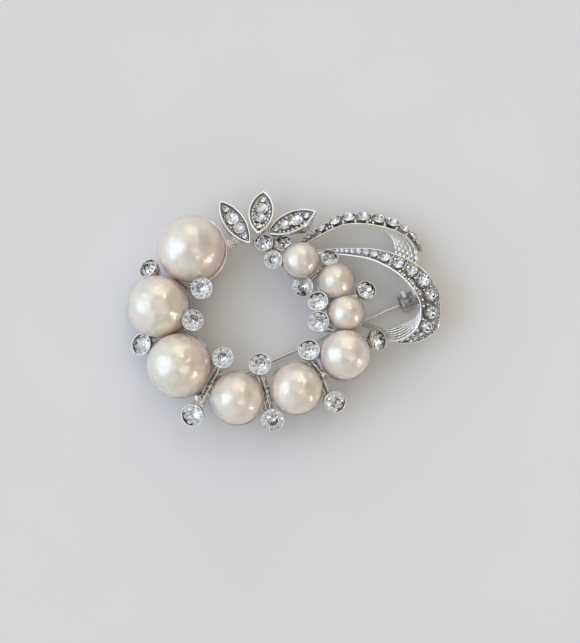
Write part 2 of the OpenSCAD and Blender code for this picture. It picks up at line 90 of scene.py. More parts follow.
# Columns: stone, share of its branch from the foot to the wreath, shift to the left of it in mm,
# radius in mm.
NUGGETS = [
    [6, 0.5, 0.95, 0.98], [6, 0.75, -0.3, 0.7], [5, 0.6, 0.35, 0.68], [8, 0.8, 0, 0.8],
    [7, 0.8, 0.1, 0.7], [10, 0.8, 0, 0.75], [9, 0.75, 0, 0.7], [3, 0.6, 0, 0.7], [4, 0.5, 0, 0.7],
    [2, 0.6, 0, 0.7],
]
# Stones on a branch of two bars, and the side of the second bar: 1 is left of the way to the wreath.
TWINS = {5: -1, 6: 1, 7: -1, 8: 1, 9: -1, 10: 1}

# The stone below the right leaf leans less than its solid: the upright part added to its axis.
RAISED = {19: 1.0}

# Columns: x, y and z of the middle of the rim in mm, direction of the long axis, pitch up, roll,
# share of the full width.
LEAVES = [
    [-9.2, 16.55, 7.4, 125.1, 0, 13, 0.87],
    [-4.25, 18.5, 7.6, 83.1, -27, 0, 1],
    [1.5, 16.62, 7.6, 24.7, 0, -28, 1],
]
LEAF_NAMES = ["left", "middle", "right"]
# Columns: place along a leaf from its middle towards the outer tip, radius, in mm.
LEAF_STONES = np.array([[3.05, 0.62], [0.95, 1.15], [-1.35, 1.0], [-3.2, 0.52]]) * MM
# Place along each leaf of the bar that joins it to the knot, in mm.
LEAF_ROOTS = [-3.2, -3.4, -3.2]
# Columns: how far each leaf's sides are drawn in at their foot, how far its belly bulges again, in mm.
LEAF_TAPERS = np.array([[0.25, 0], [0.25, 0], [0.9, 1.3]]) * MM
# Where along a leaf its belly bulges most and how far the bulge reaches, in mm.
BELLY_PLACE, BELLY_REACH = 2.1, 1.5
TIP_DEPTH = 0.9 * MM

# Columns in mm: x, y and z of the ridge, of the jewelled side's far edge, and of the ribbed side's.
FRONT_RIBBON = [
    [4.3, 9.9, 4.6, 4.2, 10.4, 4.55, 4.4, 10.0, 3.9],
    [7.5, 11.0, 3.7, 7.3, 11.9, 3.6, 7.6, 11.1, 2.5],
    [10.3, 10.7, 4.2, 10.2, 12.0, 4.0, 10.3, 10.9, 2.8],
    [12.9, 10.3, 5.0, 13.0, 12.0, 4.7, 12.9, 10.5, 3.2],
    [16.6, 9.4, 6.2, 17.2, 11.7, 5.7, 16.7, 9.7, 3.8],
    [20.5, 7.35, 7.3, 22.3, 10.2, 6.5, 20.8, 7.7, 4.2],
    [23.55, 4.6, 7.9, 26.85, 7.3, 6.9, 23.9, 4.9, 4.6],
    [25.5, 1.5, 8.05, 29.55, 3.0, 7.0, 25.8, 1.6, 4.7],
    [25.75, -1.4, 7.8, 29.7, -2.1, 6.7, 25.1, -1.1, 4.6],
    [25.2, -3.3, 7.5, 28.6, -4.5, 6.0, 23.7, -2.0, 4.6],
    [24.3, -4.6, 7.2, 26.2, -6.0, 4.9, 22.3, -2.6, 4.7],
    [22.9, -5.65, 6.8, 23.6, -6.45, 4.1, 21.1, -3.2, 4.8],
    [21.0, -6.15, 6.2, 21.0, -6.1, 3.7, 19.6, -3.5, 4.7],
    [18.9, -5.45, 5.6, 19.1, -5.2, 3.5, 18.0, -3.1, 4.5],
    [15.9, -3.8, 4.9, 16.1, -3.5, 3.4, 15.3, -2.1, 4.1],
    [12.3, -2.2, 4.7, 12.4, -2.0, 3.7, 12.1, -1.0, 4.3],
]
BACK_RIBBON = [
    [1.9, 10.2, 4.9, 1.55, 10.8, 4.8, 2.1, 10.3, 3.8],
    [3.0, 11.6, 4.5, 2.4, 12.5, 4.2, 3.2, 11.7, 3.4],
    [4.8, 12.95, 4.8, 4.1, 14.0, 4.3, 5.0, 13.0, 3.5],
    [7.0, 14.25, 5.3, 6.2, 15.8, 4.2, 7.2, 14.35, 3.5],
    [10.9, 15.95, 6.2, 10.5, 18.2, 4.2, 11.0, 16.3, 3.2],
    [13.8, 16.3, 6.5, 13.9, 18.8, 4.3, 13.8, 16.8, 3.1],
    [16.7, 16.1, 6.6, 17.3, 18.5, 4.3, 16.6, 16.5, 3.1],
    [19.4, 15.6, 6.4, 20.4, 17.8, 4.1, 19.0, 15.5, 3.3],
    [21.5, 14.95, 6.2, 22.8, 16.5, 3.5, 20.1, 14.6, 3.4],
    [23.3, 14.1, 5.8, 24.6, 15.1, 3.2, 20.8, 13.3, 3.5],
    [24.6, 12.95, 5.4, 25.7, 13.5, 2.8, 21.0, 12.1, 3.6],
    [25.5, 11.5, 5.0, 26.2, 11.8, 2.5, 21.1, 11.0, 3.7],
    [25.7, 9.8, 4.8, 26.1, 9.9, 2.3, 21.3, 9.6, 3.8],
    [25.2, 8.2, 4.9, 25.4, 8.1, 2.6, 21.5, 8.2, 4.2],
    [24.1, 6.7, 5.3, 24.2, 6.5, 3.3, 21.6, 6.9, 4.9],
]
# Columns: place along the table in rows, place across the jewelled side, radius in mm.
FRONT_STONES = [
    [2.05, 0.56, 0.33], [2.4, 0.56, 0.37], [2.75, 0.56, 0.4], [3.08, 0.56, 0.43], [3.4, 0.56, 0.47],
    [3.72, 0.56, 0.53], [4.07, 0.56, 0.64], [4.5, 0.57, 0.9], [5.07, 0.57, 1.1], [5.66, 0.58, 1.2],
    [6.3, 0.59, 1.2], [6.95, 0.57, 1.2], [7.72, 0.5, 1.25], [8.75, 0.44, 1.2], [9.6, 0.5, 0.55],
    [10.15, 0.48, 0.5], [10.65, 0.5, 0.42],
]
BACK_STONES = [
    [1.92, 0.56, 0.32], [2.33, 0.56, 0.36], [2.74, 0.56, 0.42], [3.24, 0.55, 0.68], [3.83, 0.54, 0.92],
    [4.55, 0.54, 1.05], [5.42, 0.54, 1.08], [6.35, 0.54, 1.08], [7.3, 0.54, 1.05], [8.35, 0.54, 0.95],
    [9.4, 0.54, 0.75], [10.2, 0.53, 0.65], [10.95, 0.53, 0.55],
]

# The pin's hinge, the wire's direction in plan and the distance to the catch.
HINGE = np.array([-13.3, -14.35, 1.6]) * MM + PLAN
PIN_DIRECTION = math.radians(23.7)
CATCH_REACH = 40.4 * MM


# Small helpers, on whole arrays.

def unit(v):
    """Each vector divided by its own length."""
    return v / np.linalg.norm(v, axis=-1, keepdims=True)


def leaning(lean, towards):
    """Axis that leans from upright by an angle towards a compass angle, both in degrees.

    The lean's cosine goes up, and its sine is shared out by the compass angle's cosine and sine.
    """
    lean, towards = math.radians(lean), math.radians(towards)
    return np.array([
        math.sin(lean) * math.cos(towards), math.sin(lean) * math.sin(towards), math.cos(lean)
    ])


def crosswise(axis):
    """Two directions square to an axis and to each other: the second is the axis cross the first."""
    helper = UPRIGHT if abs(axis[2]) < 0.9 else [1.0, 0.0, 0.0]
    first = unit(np.cross(helper, axis))
    return first, np.cross(axis, first)


def spokes(turn, a, b):
    """Direction for each angle: its cosine along one direction plus its sine along another."""
    return np.cos(turn)[:, None] * a + np.sin(turn)[:, None] * b


def half_round(rows):
    """Profile of a ball of radius 1, from its top to its bottom, in (radius, height) rows.

    A row is the sine and the cosine of its angle from the top.
    """
    turn = np.linspace(0, math.pi, rows)
    return np.stack([np.sin(turn), np.cos(turn)], axis=-1)


def pebbles(u, v):
    """Uneven grain from -1 to 1: a product of two sine waves, each bent by a slow wave of the other."""
    return np.sin(u + 1.7 * np.sin(0.53 * v + 0.4)) * np.sin(v + 1.9 * np.sin(0.47 * u + 1.1))


# Surfaces.

class Surface:
    """Points and faces; a triangle has -1 for its fourth corner.

    shade is each point's share of the darker colour, and paint the number of each face's finish.
    """

    def __init__(self, points, faces, shade=0.0, paint=0, smooth=True):
        self.points = points
        self.faces = faces
        self.shade = np.broadcast_to(np.asarray(shade, float), (len(points),))
        self.paint = np.broadcast_to(np.asarray(paint, int), (len(faces),))
        self.smooth = smooth


def faces_of(*corners):
    """Faces from arrays of corner numbers; three arrays make triangles."""
    corners = np.broadcast_arrays(*corners)
    if len(corners) == 3:
        corners = [*corners, np.full(corners[0].shape, -1)]
    return np.stack(corners, axis=-1).reshape(-1, 4)


def turned_round(faces):
    """The same faces seen from behind: their corners in the other order."""
    quad = faces[:, 3:] >= 0
    return np.where(quad, faces[:, [3, 2, 1, 0]], faces[:, [2, 1, 0, 3]])


def outward(points, faces):
    """Faces turned round if the volume that they enclose is negative.

    The volume is a sixth of the sum, over the triangles, of a corner dotted with the cross product
    of the other two.
    """
    p0, p1, p2 = (points[faces[:, i]] for i in range(3))
    p3 = points[np.where(faces[:, 3] >= 0, faces[:, 3], faces[:, 2])]
    volume = np.einsum("ij,ij->", p0, np.cross(p1, p2)) + np.einsum("ij,ij->", p0, np.cross(p2, p3))
    return faces if volume >= 0 else turned_round(faces)


def away_from(inside, points, faces):
    """Faces of a convex solid turned so that each looks away from a point inside it."""
    p0, p1, p2 = (points[faces[:, i]] for i in range(3))
    away = np.einsum("ij,ij->i", np.cross(p1 - p0, p2 - p0), p0 - inside) > 0
    return np.where(away[:, None], faces, turned_round(faces))


def skin(grid, poles=None, shade=0.0):
    """Faces over a grid whose columns run round and whose rows run round too or end in two poles.

    A face joins a point, the next one of its row and the same two of the next row.
    """
    rows, columns = grid.shape[:2]
    index = np.arange(rows * columns).reshape(rows, columns)
    right = np.roll(index, -1, axis=1)
    shade = np.broadcast_to(np.asarray(shade, float), (rows, columns)).ravel()
    points = grid.reshape(-1, 3)
    if poles is None:
        faces = faces_of(index, right, np.roll(right, -1, axis=0), np.roll(index, -1, axis=0))
        return Surface(points, outward(points, faces), shade)
    points = np.vstack([points, poles])
    faces = np.vstack([
        faces_of(index[:-1], right[:-1], right[1:], index[1:]),
        faces_of(right[0], index[0], rows * columns),
        faces_of(index[-1], right[-1], rows * columns + 1),
    ])
    return Surface(points, outward(points, faces), np.append(shade, [shade[0], shade[-1]]))


def turned(profile, at, axis, sides=48, ring=False, swell=None, shade=0.0):
    """Profile of (radius, height) rows turned about an axis.

    A point is at, plus its height along the axis, plus its radius along the spoke of its angle.
    A ring's profile runs back to its start; otherwise its first and last rows lie on the axis.
    swell, if given, is the share by which the distance from at grows, as a function of direction.
    """
    profile = np.asarray(profile, float)
    axis = unit(np.asarray(axis, float))
    a, b = crosswise(axis)
    around = spokes(np.linspace(0, 2 * np.pi, sides, endpoint=False), a, b)
    body = profile if ring else profile[1:-1]
    grid = body[:, None, :1] * around + body[:, None, 1:] * axis
    if swell is not None:
        grid = grid * (1 + swell(unit(grid)))[..., None]
    shade = np.asarray(shade, float)
    if shade.ndim == 1:
        shade = (shade if ring else shade[1:-1])[:, None]
    if ring:
        return skin(grid + at, shade=shade)
    poles = np.array([at + profile[0, 1] * axis, at + profile[-1, 1] * axis])
    return skin(grid + at, poles, shade)


def rod(path, radius, sides=16, grain=0.0, grain_size=0.36 * MM, shade=0.0):
    """Round bar: a point of the path plus the radius along a spoke, for each point and angle.

    Pebbles roughen the radius: grain is their height as a share of it, and their hollows are darker.
    """
    path = np.asarray(path, float)
    along = unit(np.gradient(path, axis=0))
    a, b = crosswise(along[len(along) // 2])
    a = unit(a - (along @ a)[:, None] * along)
    b = np.cross(along, a)
    turn = np.linspace(0, 2 * np.pi, sides, endpoint=False)
    travel = np.append(0, np.cumsum(np.linalg.norm(np.diff(path, axis=0), axis=1)))
    radius = np.broadcast_to(np.asarray(radius, float), (len(path),))
    waves = round(2 * np.pi * radius.mean() / grain_size)
    lumps = pebbles(2 * np.pi * travel[:, None] / grain_size, waves * turn[None])
    reach = radius[:, None] * (1 + grain * lumps)
    grid = path[:, None] + reach[..., None] * spokes(turn, a[:, None], b[:, None])
    darkening = shade + GRAIN_DARKENING * (grain > 0) * (1 - lumps) / 2
    return skin(grid, np.array([path[0], path[-1]]), np.clip(darkening, 0, 1))


def nugget(at, radius, seed):
    """Cast lump: a ball whose radius is roughened by pebbles of its direction."""
    def swell(direction):
        x, y, z = 3.2 * np.moveaxis(direction, -1, 0)
        return 0.1 * pebbles(1.5 * x + seed, 1.5 * y + z) + 0.04 * pebbles(3 * z - seed, 3 * x + y)

    return turned(half_round(26) * radius, at, UPRIGHT, 40, swell=swell, shade=0.05)


def straight(start, end, steps):
    """Evenly spaced points of a straight line: the start plus a share of the way to the end."""
    share = np.linspace(0, 1, steps)[:, None]
    return np.asarray(start) + share * (np.asarray(end) - np.asarray(start))


def cast_bar(start, end, steps, radius, sides, rough, grain_size=CAST_GRAIN):
    """Straight bar with the rough grain of the casting."""
    return rod(straight(start, end, steps), radius, sides, rough, grain_size)


def slab(outline, at, across, up, along, thickness, edge=0.06 * MM, shade=0.0):
    """Flat outline given thickness along its normal, with eased edges.

    A row is the outline laid across and up, at a height along the normal, and the outermost rows
    are drawn in towards the outline's middle by the width of the edge.
    """
    outline = np.asarray(outline, float)
    middle = outline.mean(axis=0)
    toward = unit(middle - outline)
    rows = [(0.5, 1), (0.5, 0.25), (0.5 - edge / thickness, 0)]
    rows += [(-h, inset) for h, inset in reversed(rows)]
    grid = np.array([
        at + (outline + edge * inset * toward) @ np.array([across, up]) + height * thickness * along
        for height, inset in rows
    ])
    poles = np.array([
        at + middle @ np.array([across, up]) + side * thickness / 2 * along for side in (1, -1)
    ])
    return skin(grid, poles, shade)


def joined(surfaces):
    """One surface from several, with each one's face numbers moved up past the points before it."""
    offsets = np.cumsum([0] + [len(s.points) for s in surfaces[:-1]])
    faces = [np.where(s.faces >= 0, s.faces + o, -1) for s, o in zip(surfaces, offsets)]
    whole = Surface(
        np.vstack([s.points for s in surfaces]), np.vstack(faces),
        np.concatenate([s.shade for s in surfaces]), np.concatenate([s.paint for s in surfaces]),
    )
    whole.smooth = np.concatenate([np.full(len(s.faces), s.smooth) for s in surfaces])
    return whole


def make_piece(name, surfaces, finishes, body, replaced=(), crease=None):
    """Mesh object at the origin from surfaces, riding on a body and standing for CAD nodes."""
    whole = joined(surfaces)
    corners = whole.faces.ravel()
    sizes = (whole.faces >= 0).sum(axis=1)
    mesh = bpy.data.meshes.new(name)
    mesh.vertices.add(len(whole.points))
    mesh.vertices.foreach_set("co", whole.points.astype(np.float32).ravel())
    mesh.loops.add(int(sizes.sum()))
    mesh.loops.foreach_set("vertex_index", corners[corners >= 0].astype(np.int32))
    mesh.polygons.add(len(sizes))
    mesh.polygons.foreach_set("loop_start", (np.cumsum(sizes) - sizes).astype(np.int32))
    mesh.polygons.foreach_set("material_index", whole.paint.astype(np.int32))
    mesh.update(calc_edges=True)
    mesh.polygons.foreach_set("use_smooth", whole.smooth.astype(bool))
    layer = mesh.attributes.new("shade", "FLOAT", "POINT")
    layer.data.foreach_set("value", whole.shade.astype(np.float32))
    if mesh.validate():
        raise RuntimeError(f"{name} has faces that had to be mended")
    if crease is not None:
        mesh.set_sharp_from_angle(angle=math.radians(crease))
    for material in finishes:
        mesh.materials.append(material)
    piece = bpy.data.objects.new(name, mesh)
    bpy.context.scene.collection.objects.link(piece)
    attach(piece, body)
    if replaced:
        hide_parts(*replaced)
    return piece


def metal_piece(name, surfaces, crease=None, replaced=("setting",)):
    """Plated piece of the setting, which rides on the brooch."""
    return make_piece(name, surfaces, [finish("plate")], "brooch", replaced, crease)


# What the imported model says.

def node_points(node):
    """Distinct vertices of a CAD node."""
    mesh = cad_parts[node].data
    co = np.empty(len(mesh.vertices) * 3)
    mesh.vertices.foreach_get("co", co)
    return np.unique(co.reshape(-1, 3).round(7), axis=0)


def pearl_ball(number):
    """Centre and radius of a pearl, from its node's box: its bottom is drilled, so its top counts."""
    low, high = (np.array(corner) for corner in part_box(f"pearl_{number}"))
    radius = (high[0] - low[0]) / 2
    return np.array([(low[0] + high[0]) / 2, (low[1] + high[1]) / 2, high[2] - radius]), radius


def stone_seat(number):
    """Girdle's centre, axis and radius of a stone: the axis is the way in which it spreads least.

    A raised stone's axis is then turned towards upright.
    """
    points = node_points(f"stone_{number:02d}")
    middle = points.mean(axis=0)
    axis = np.linalg.svd(points - middle)[2][2]
    axis = axis * np.sign(axis[2])
    height = (points - middle) @ axis
    reach = np.linalg.norm(points - middle - height[:, None] * axis, axis=1)
    radius = reach.max()
    at = middle + height[reach > 0.999 * radius].max() * axis
    return at, unit(axis + [0, 0, RAISED.get(number, 0)]), radius


def bar_end(i, j, metal):
    """Where the wreath's bar from pearl i to pearl j leaves the cup of i, in the middle of its wall.

    It lies that wall's radius from the pearl's centre, on the level way to pearl j turned down by
    the bar's angle.
    """
    centre, radius = pearl_ball(i + 1)
    other, _ = pearl_ball(j + 1)
    level = unit((other - centre) * [1, 1, 0])
    low = math.radians(BAR_ANGLES[i])
    reach = radius + metal.pearl_gap + metal.cup_wall / 2
    return centre + reach * (math.cos(low) * level - np.array([0, 0, math.sin(low)]))


def branch_root(number, metal):
    """Middle of the wreath's gap that a stone's branch grows from."""
    gap = STONE_GAPS[number - 1]
    if gap == PEARLS - 1:
        return KNOT
    return (bar_end(gap, gap + 1, metal) + bar_end(gap + 1, gap, metal)) / 2


# Finishes.

# Numbers of the sockets of a node that mixes colours: its two colours and its result.
MIX_FIRST, MIX_SECOND, MIX_RESULT = 6, 7, 2


class Nodes:
    """Short names for adding and linking the nodes of one material."""

    def __init__(self, name):
        self.material = bpy.data.materials.new(name)
        self.material.use_nodes = True
        self.tree = self.material.node_tree
        self.shader = self.tree.nodes["Principled BSDF"]
        self.place = self.add("ShaderNodeTexCoord").outputs["Object"]

    def add(self, kind, **values):
        """New node with its own properties set."""
        node = self.tree.nodes.new(kind)
        for key, value in values.items():
            setattr(node, key, value)
        return node

    def link(self, source, target):
        """Joins a node's output to another's input."""
        self.tree.links.new(source, target)

    def noise(self, size, detail=4.0, roughness=0.55, distortion=0.0):
        """Noise whose grains are about size metres across."""
        node = self.add("ShaderNodeTexNoise")
        node.inputs["Scale"].default_value = 1 / size
        node.inputs["Detail"].default_value = detail
        node.inputs["Roughness"].default_value = roughness
        node.inputs["Distortion"].default_value = distortion
        self.link(self.place, node.inputs["Vector"])
        return node.outputs["Fac"]

    def ramp(self, source, stops):
        """Colours at places from 0 to 1."""
        node = self.add("ShaderNodeValToRGB")
        band = node.color_ramp
        for i, (place, colour) in enumerate(stops):
            stop = band.elements[i] if i < 2 else band.elements.new(place)
            stop.position = place
            stop.color = (*colour, 1) if len(colour) == 3 else colour
        self.link(source, node.inputs["Fac"])
        return node.outputs["Color"]

    def stretch(self, source, low, high, to_low, to_high):
        """Range from low to high moved to the range from to_low to to_high, and held inside it."""
        node = self.add("ShaderNodeMapRange")
        limits = {"From Min": low, "From Max": high, "To Min": to_low, "To Max": to_high}
        for key, value in limits.items():
            node.inputs[key].default_value = value
        self.link(source, node.inputs["Value"])
        return node.outputs["Result"]

    def mix(self, share, source, fixed):
        """Colour from a node where the share is 0, and a fixed colour where it is 1."""
        node = self.add("ShaderNodeMix", data_type="RGBA")
        self.link(share, node.inputs["Factor"])
        self.link(source, node.inputs[MIX_FIRST])
        node.inputs[MIX_SECOND].default_value = (*fixed, 1)
        return node.outputs[MIX_RESULT]

    def sum(self, a, b):
        """Sum of two nodes' values."""
        node = self.add("ShaderNodeMath", operation="ADD")
        self.link(a, node.inputs[0])
        self.link(b, node.inputs[1])
        return node.outputs["Value"]

    def bump(self, height, strength, distance):
        """Low relief: distance is its depth in metres, and strength how much of it shows."""
        node = self.add("ShaderNodeBump")
        node.inputs["Strength"].default_value = strength
        node.inputs["Distance"].default_value = distance
        self.link(height, node.inputs["Height"])
        self.link(node.outputs["Normal"], self.shader.inputs["Normal"])

    def set(self, **values):
        """Constant values on the shader's own sockets."""
        for key, value in values.items():
            self.shader.inputs[key.replace("_", " ")].default_value = value


def metal_finish(name, colour, dark, grain, rough):
    """Silver-tone plate with a fine grain; it is darker and duller where the shade attribute says."""
    n = Nodes(name)
    attribute = n.add("ShaderNodeAttribute", attribute_name="shade")
    cloud = n.stretch(n.noise(1.1 * MM, 5), 0.3, 0.7, -0.16, 0.16)
    fine = n.noise(grain, 3)
    # The shade attribute holds both tarnish in hollows and painted shade, such as on the catch, the cup
    # lips and the leaves' sides.
    darkening = n.sum(attribute.outputs["Fac"], cloud)
    bright = n.ramp(fine, [(0.25, tuple(0.9 * c for c in colour)), (0.75, colour)])
    n.link(n.mix(n.stretch(darkening, 0.12, 0.85, 0, 1), bright, dark), n.shader.inputs["Base Color"])
    smear = n.stretch(n.noise(0.6 * MM, 4), 0.3, 0.7, rough * 0.75, rough * 1.35)
    dull = n.stretch(darkening, 0.1, 1, 0, 0.25)
    n.link(n.sum(smear, dull), n.shader.inputs["Roughness"])
    n.bump(fine, 0.22, 0.012 * MM)
    n.set(Metallic=1.0)
    return n.material


def pearl_finish(props):
    """Satin cream nacre: soft clouds of cream, a painted pink reflection towards the sides, and a thin
    clear coat.
    """
    n = Nodes("Pearl nacre")
    clouds = n.noise(5.5 * MM, 2, 0.5, 0.6)
    tone = n.ramp(clouds, [(0.32, props.warm), (0.5, props.cream), (0.7, props.green)])
    greyer = n.stretch(n.noise(2.4 * MM, 2, 0.5, 0.8), 0.5, 0.7, 0, 0.35)
    tone = n.mix(greyer, tone, tuple(props.mottle))
    attribute = n.add("ShaderNodeAttribute", attribute_name="shade")
    # Painted reflection: the shade attribute is the share of pink, which stands in for a warm surface
    # mirrored in a pearl's sides.
    pink_reflection_share = n.stretch(attribute.outputs["Fac"], 0, 1, 0, 0.7)
    tone = n.mix(pink_reflection_share, tone, tuple(props.reflected_pink))
    n.link(tone, n.shader.inputs["Base Color"])
    n.bump(n.noise(2.8 * MM, 1, 0.4), 1.0, 0.52 * MM)
    n.set(Metallic=props.lustre, Roughness=0.27, IOR=1.6)
    n.set(Coat_Weight=0.35, Coat_Roughness=0.1, Coat_IOR=1.5)
    n.set(Sheen_Weight=0.2, Sheen_Roughness=0.4, Sheen_Tint=(1.0, 0.72, 0.64, 1))
    n.set(Subsurface_Weight=0.12, Subsurface_Radius=(1.0, 0.7, 0.55), Subsurface_Scale=0.8 * MM)
    n.set(Thin_Film_Thickness=420, Thin_Film_IOR=1.4)
    return n.material


def crystal_finishes(dim, foil_rough):
    """Clear cut glass for the crown, silvered foil for the back, and a dimmer foil for its wedges, which
    is painted shade for the dark star that a cut stone mirrors.
    """
    finishes = []
    for name, cloud, detail, stops, values in (
            ("Crystal crown", 2.5 * MM, 2, [(0.3, (0.97, 0.98, 0.99)), (0.7, (1, 1, 1))],
             {"Roughness": 0.0, "IOR": 1.56, "Transmission_Weight": 1.0}),
            ("Crystal foil", 0.35 * MM, 3, [(0.25, (0.86, 0.86, 0.85)), (0.5, (0.97, 0.97, 0.97))],
             {"Metallic": 1.0, "Roughness": foil_rough}),
            ("Crystal wedges", 0.35 * MM, 3, [(0.3, (dim,) * 3), (0.7, (dim + 0.2,) * 3)],
             {"Metallic": 1.0, "Roughness": foil_rough})):
        n = Nodes(name)
        n.link(n.ramp(n.noise(cloud, detail), stops), n.shader.inputs["Base Color"])
        n.set(**values)
        finishes.append(n.material)
    return finishes


MADE_FINISHES = {}


def finish(kind):
    """Each finish is made once and shared by the pieces that wear it."""
    if kind not in MADE_FINISHES:
        scene = bpy.context.scene
        metal = scene.brooch_metal
        MADE_FINISHES[kind] = {
            "plate": lambda: metal_finish(
                "Silver plate", metal.bright, metal.dark, 0.12 * MM, metal.roughness),
            "wire": lambda: metal_finish("Drawn wire", metal.wire, metal.dark, 0.6 * MM, 0.22),
            "pearl": lambda: pearl_finish(scene.brooch_pearls),
            "stone": lambda: crystal_finishes(0.68, 0.05),
            "small stone": lambda: crystal_finishes(0.78, 0.12),
        }[kind]()
    return MADE_FINISHES[kind]


# Cut stones.

def chaton(at, axis, radius, crown, girdle, back, table=0.52, turn=0.0):
    """Round stone cut with a table, eight crown facets, a thin girdle and sixteen back facets.

    The table's corners lie at its share of the radius and at the crown's height, every 45 degrees.
    A crown facet is flat, so halfway between its two girdle corners it meets the girdle lower: by the
    crown times 1 less c, divided by c times 1 less the table's share, where c is the cosine of 22.5
    degrees. The girdle is never thinner than that. The back has eight steep facets from the girdle to
    a ring at half the radius, and eight flatter ones, turned by half a facet, from the ring to the
    point. The wedges between the steep facets have the darker foil.
    """
    a, b = crosswise(axis)
    eighths = np.arange(8) * math.pi / 4 + turn
    sixteenths = np.arange(16) * math.pi / 8 + turn
    c = math.cos(math.pi / 8)
    dip = crown * (1 - c) / (c * (1 - table))
    girdle = max(girdle, dip + 0.02 * MM)
    odd = np.arange(16) % 2

    def circle(angles, share, height):
        return at + radius * share * spokes(angles, a, b) + np.reshape(height, (-1, 1)) * axis

    points = np.vstack([
        circle(eighths, table, crown), circle(sixteenths, 1, -dip * odd),
        circle(sixteenths, 1, -girdle), circle(eighths + math.pi / 8, 0.5, -girdle - 0.56 * back),
        [at - (girdle + back) * axis, at + crown * axis],
    ])
    # Corner numbers: table, upper and lower edge of the girdle, ring, point, middle of the table.
    corner = np.arange(8)
    after = (corner + 1) % 8
    upper, upper_after = 8 + 2 * corner, 8 + 2 * after
    lower, lower_after = 24 + 2 * corner, 24 + 2 * after
    ring, ring_after, point, top = 40 + corner, 40 + after, 48, 49
    edge = np.arange(16)
    edge_after = (edge + 1) % 16
    crown_faces = np.vstack([
        faces_of(corner, after, top), faces_of(corner, upper, upper + 1),
        faces_of(corner, upper + 1, after), faces_of(after, upper + 1, upper_after),
        faces_of(8 + edge, 24 + edge, 24 + edge_after, 8 + edge_after),
    ])
    steep = [faces_of(lower, ring, lower + 1), faces_of(lower + 1, ring, lower_after)]
    wedges = faces_of(lower_after, ring, ring_after)
    deep = faces_of(ring, point, ring_after)
    faces = away_from(at - 0.5 * girdle * axis, points, np.vstack([crown_faces, *steep, wedges, deep]))
    # The darker foil of the wedges is painted shade, standing in for the dark star that a cut stone's
    # back mirrors.
    glass, foil, painted_dark_foil = 0, 1, 2
    paint = np.repeat([glass, foil, painted_dark_foil, foil], [len(crown_faces), 16, 8, 8])
    return Surface(points, faces, 0, paint, smooth=False)


def bead(at, axis, radius, sides=8):
    """Small raised metal bead: a ball of few faces, darker towards the surface below it."""
    ball = half_round(6)
    return turned(ball * radius, at, axis, sides, shade=0.35 * (1 - ball[:, 1]))


# Sizes and colours that a user would change.

def length_of(name, description, default, low, high):
    """Size whose default and limits are given here in mm."""
    return FloatProperty(name=name, description=description, unit="LENGTH",
                         default=default * MM, min=low * MM, max=high * MM)


def number_of(name, description, default, low, high):
    """Whole number between two limits."""
    return IntProperty(name=name, description=description, default=default, min=low, max=high)


def share_of(name, description, default, low=0, high=1):
    """Share or strength between two limits."""
    return FloatProperty(name=name, description=description, subtype="FACTOR" if high <= 1 else "NONE",
                         default=default, min=low, max=high)


def colour_of(name, description, default):
    """Colour as shares of red, green and blue."""
    return FloatVectorProperty(name=name, description=description, subtype="COLOR",
                               default=default, min=0, max=1)


class PearlProps(bpy.types.PropertyGroup):
    undulation: share_of("Undulation", "Unevenness of a pearl as a share of its radius", 0.004, 0, 0.02)
    rows: number_of("Rows", "Rows of faces down a pearl", 56, 16, 96)
    sides: number_of("Sides", "Faces round a pearl", 88, 24, 128)
    lustre: share_of("Lustre", "Share of the light that the nacre mirrors", 0.39)
    # Painted reflection: the pink that tints a pearl's sides and bottom.
    reflected_pink: colour_of("Painted pink reflection", "Pinker colour of a pearl's sides", (0.96, 0.745, 0.65))
    cream: colour_of("Cream", "Main colour of the nacre", (0.92, 0.85, 0.745))
    warm: colour_of("Warm cream", "Pinker clouds in the nacre", (0.93, 0.81, 0.7))
    green: colour_of("Green cream", "Cooler clouds in the nacre", (0.86, 0.83, 0.715))
    mottle: colour_of("Mottle", "Greyer small clouds in the nacre", (0.66, 0.62, 0.55))


class MetalProps(bpy.types.PropertyGroup):
    cup_wall: length_of("Cup wall", "Wall of the dish cup under each pearl", 0.5, 0.3, 0.8)
    pearl_gap: length_of("Pearl gap", "Space between a pearl and its cup", 0.06, 0, 0.2)
    cup_bare: share_of(
        "Cup bare", "Depth of a cup's rim below its pearl's middle, as a share of the radius",
        0.36, 0.2, 0.6)
    bar_radius: length_of("Bar radius", "Radius of the bars between the cups", 0.75, 0.4, 1.2)
    branch_radius: length_of("Branch radius", "Radius of the branches to the crystals", 0.66, 0.3, 0.8)
    foot_radius: length_of("Foot radius", "Radius of the feet under the large cups", 1.7, 1, 2.5)
    bright: colour_of("Plate", "Colour of the polished plate", (0.93, 0.91, 0.87))
    wire: colour_of("Wire", "Colour of the drawn pin wire", (0.74, 0.71, 0.69))
    # Colour of the tarnish in hollows and of the painted shade.
    dark: colour_of("Tarnish and painted shade", "Colour of the darkened recesses", (0.09, 0.085, 0.075))
    roughness: share_of("Roughness", "Roughness of the polished plate", 0.2)


class CrystalProps(bpy.types.PropertyGroup):
    fill: length_of("Fill", "How much wider in radius a crystal is than its solid", 0.14, 0, 0.2)
    gap: length_of("Gap", "Space between a crystal and its tube cup", 0.02, 0, 0.2)
    wall: length_of("Tube wall", "Wall of a tube cup", 0.15, 0.1, 0.5)
    lip: length_of("Lip", "Height of a tube cup above its crystal's girdle", 0.22, 0, 0.5)
    overlap: length_of("Overlap", "How far the rolled lip reaches over its crystal", 0.02, 0, 0.2)
    depth: length_of("Tube depth", "Depth of a tube cup below its crystal's girdle", 2.6, 2, 3.5)
    crown: share_of("Crown", "Height of a crystal's table as a share of its radius", 0.3, 0.15, 0.5)
    back: share_of("Back", "Depth of a crystal's point as a share of its radius", 0.76, 0.4, 1)


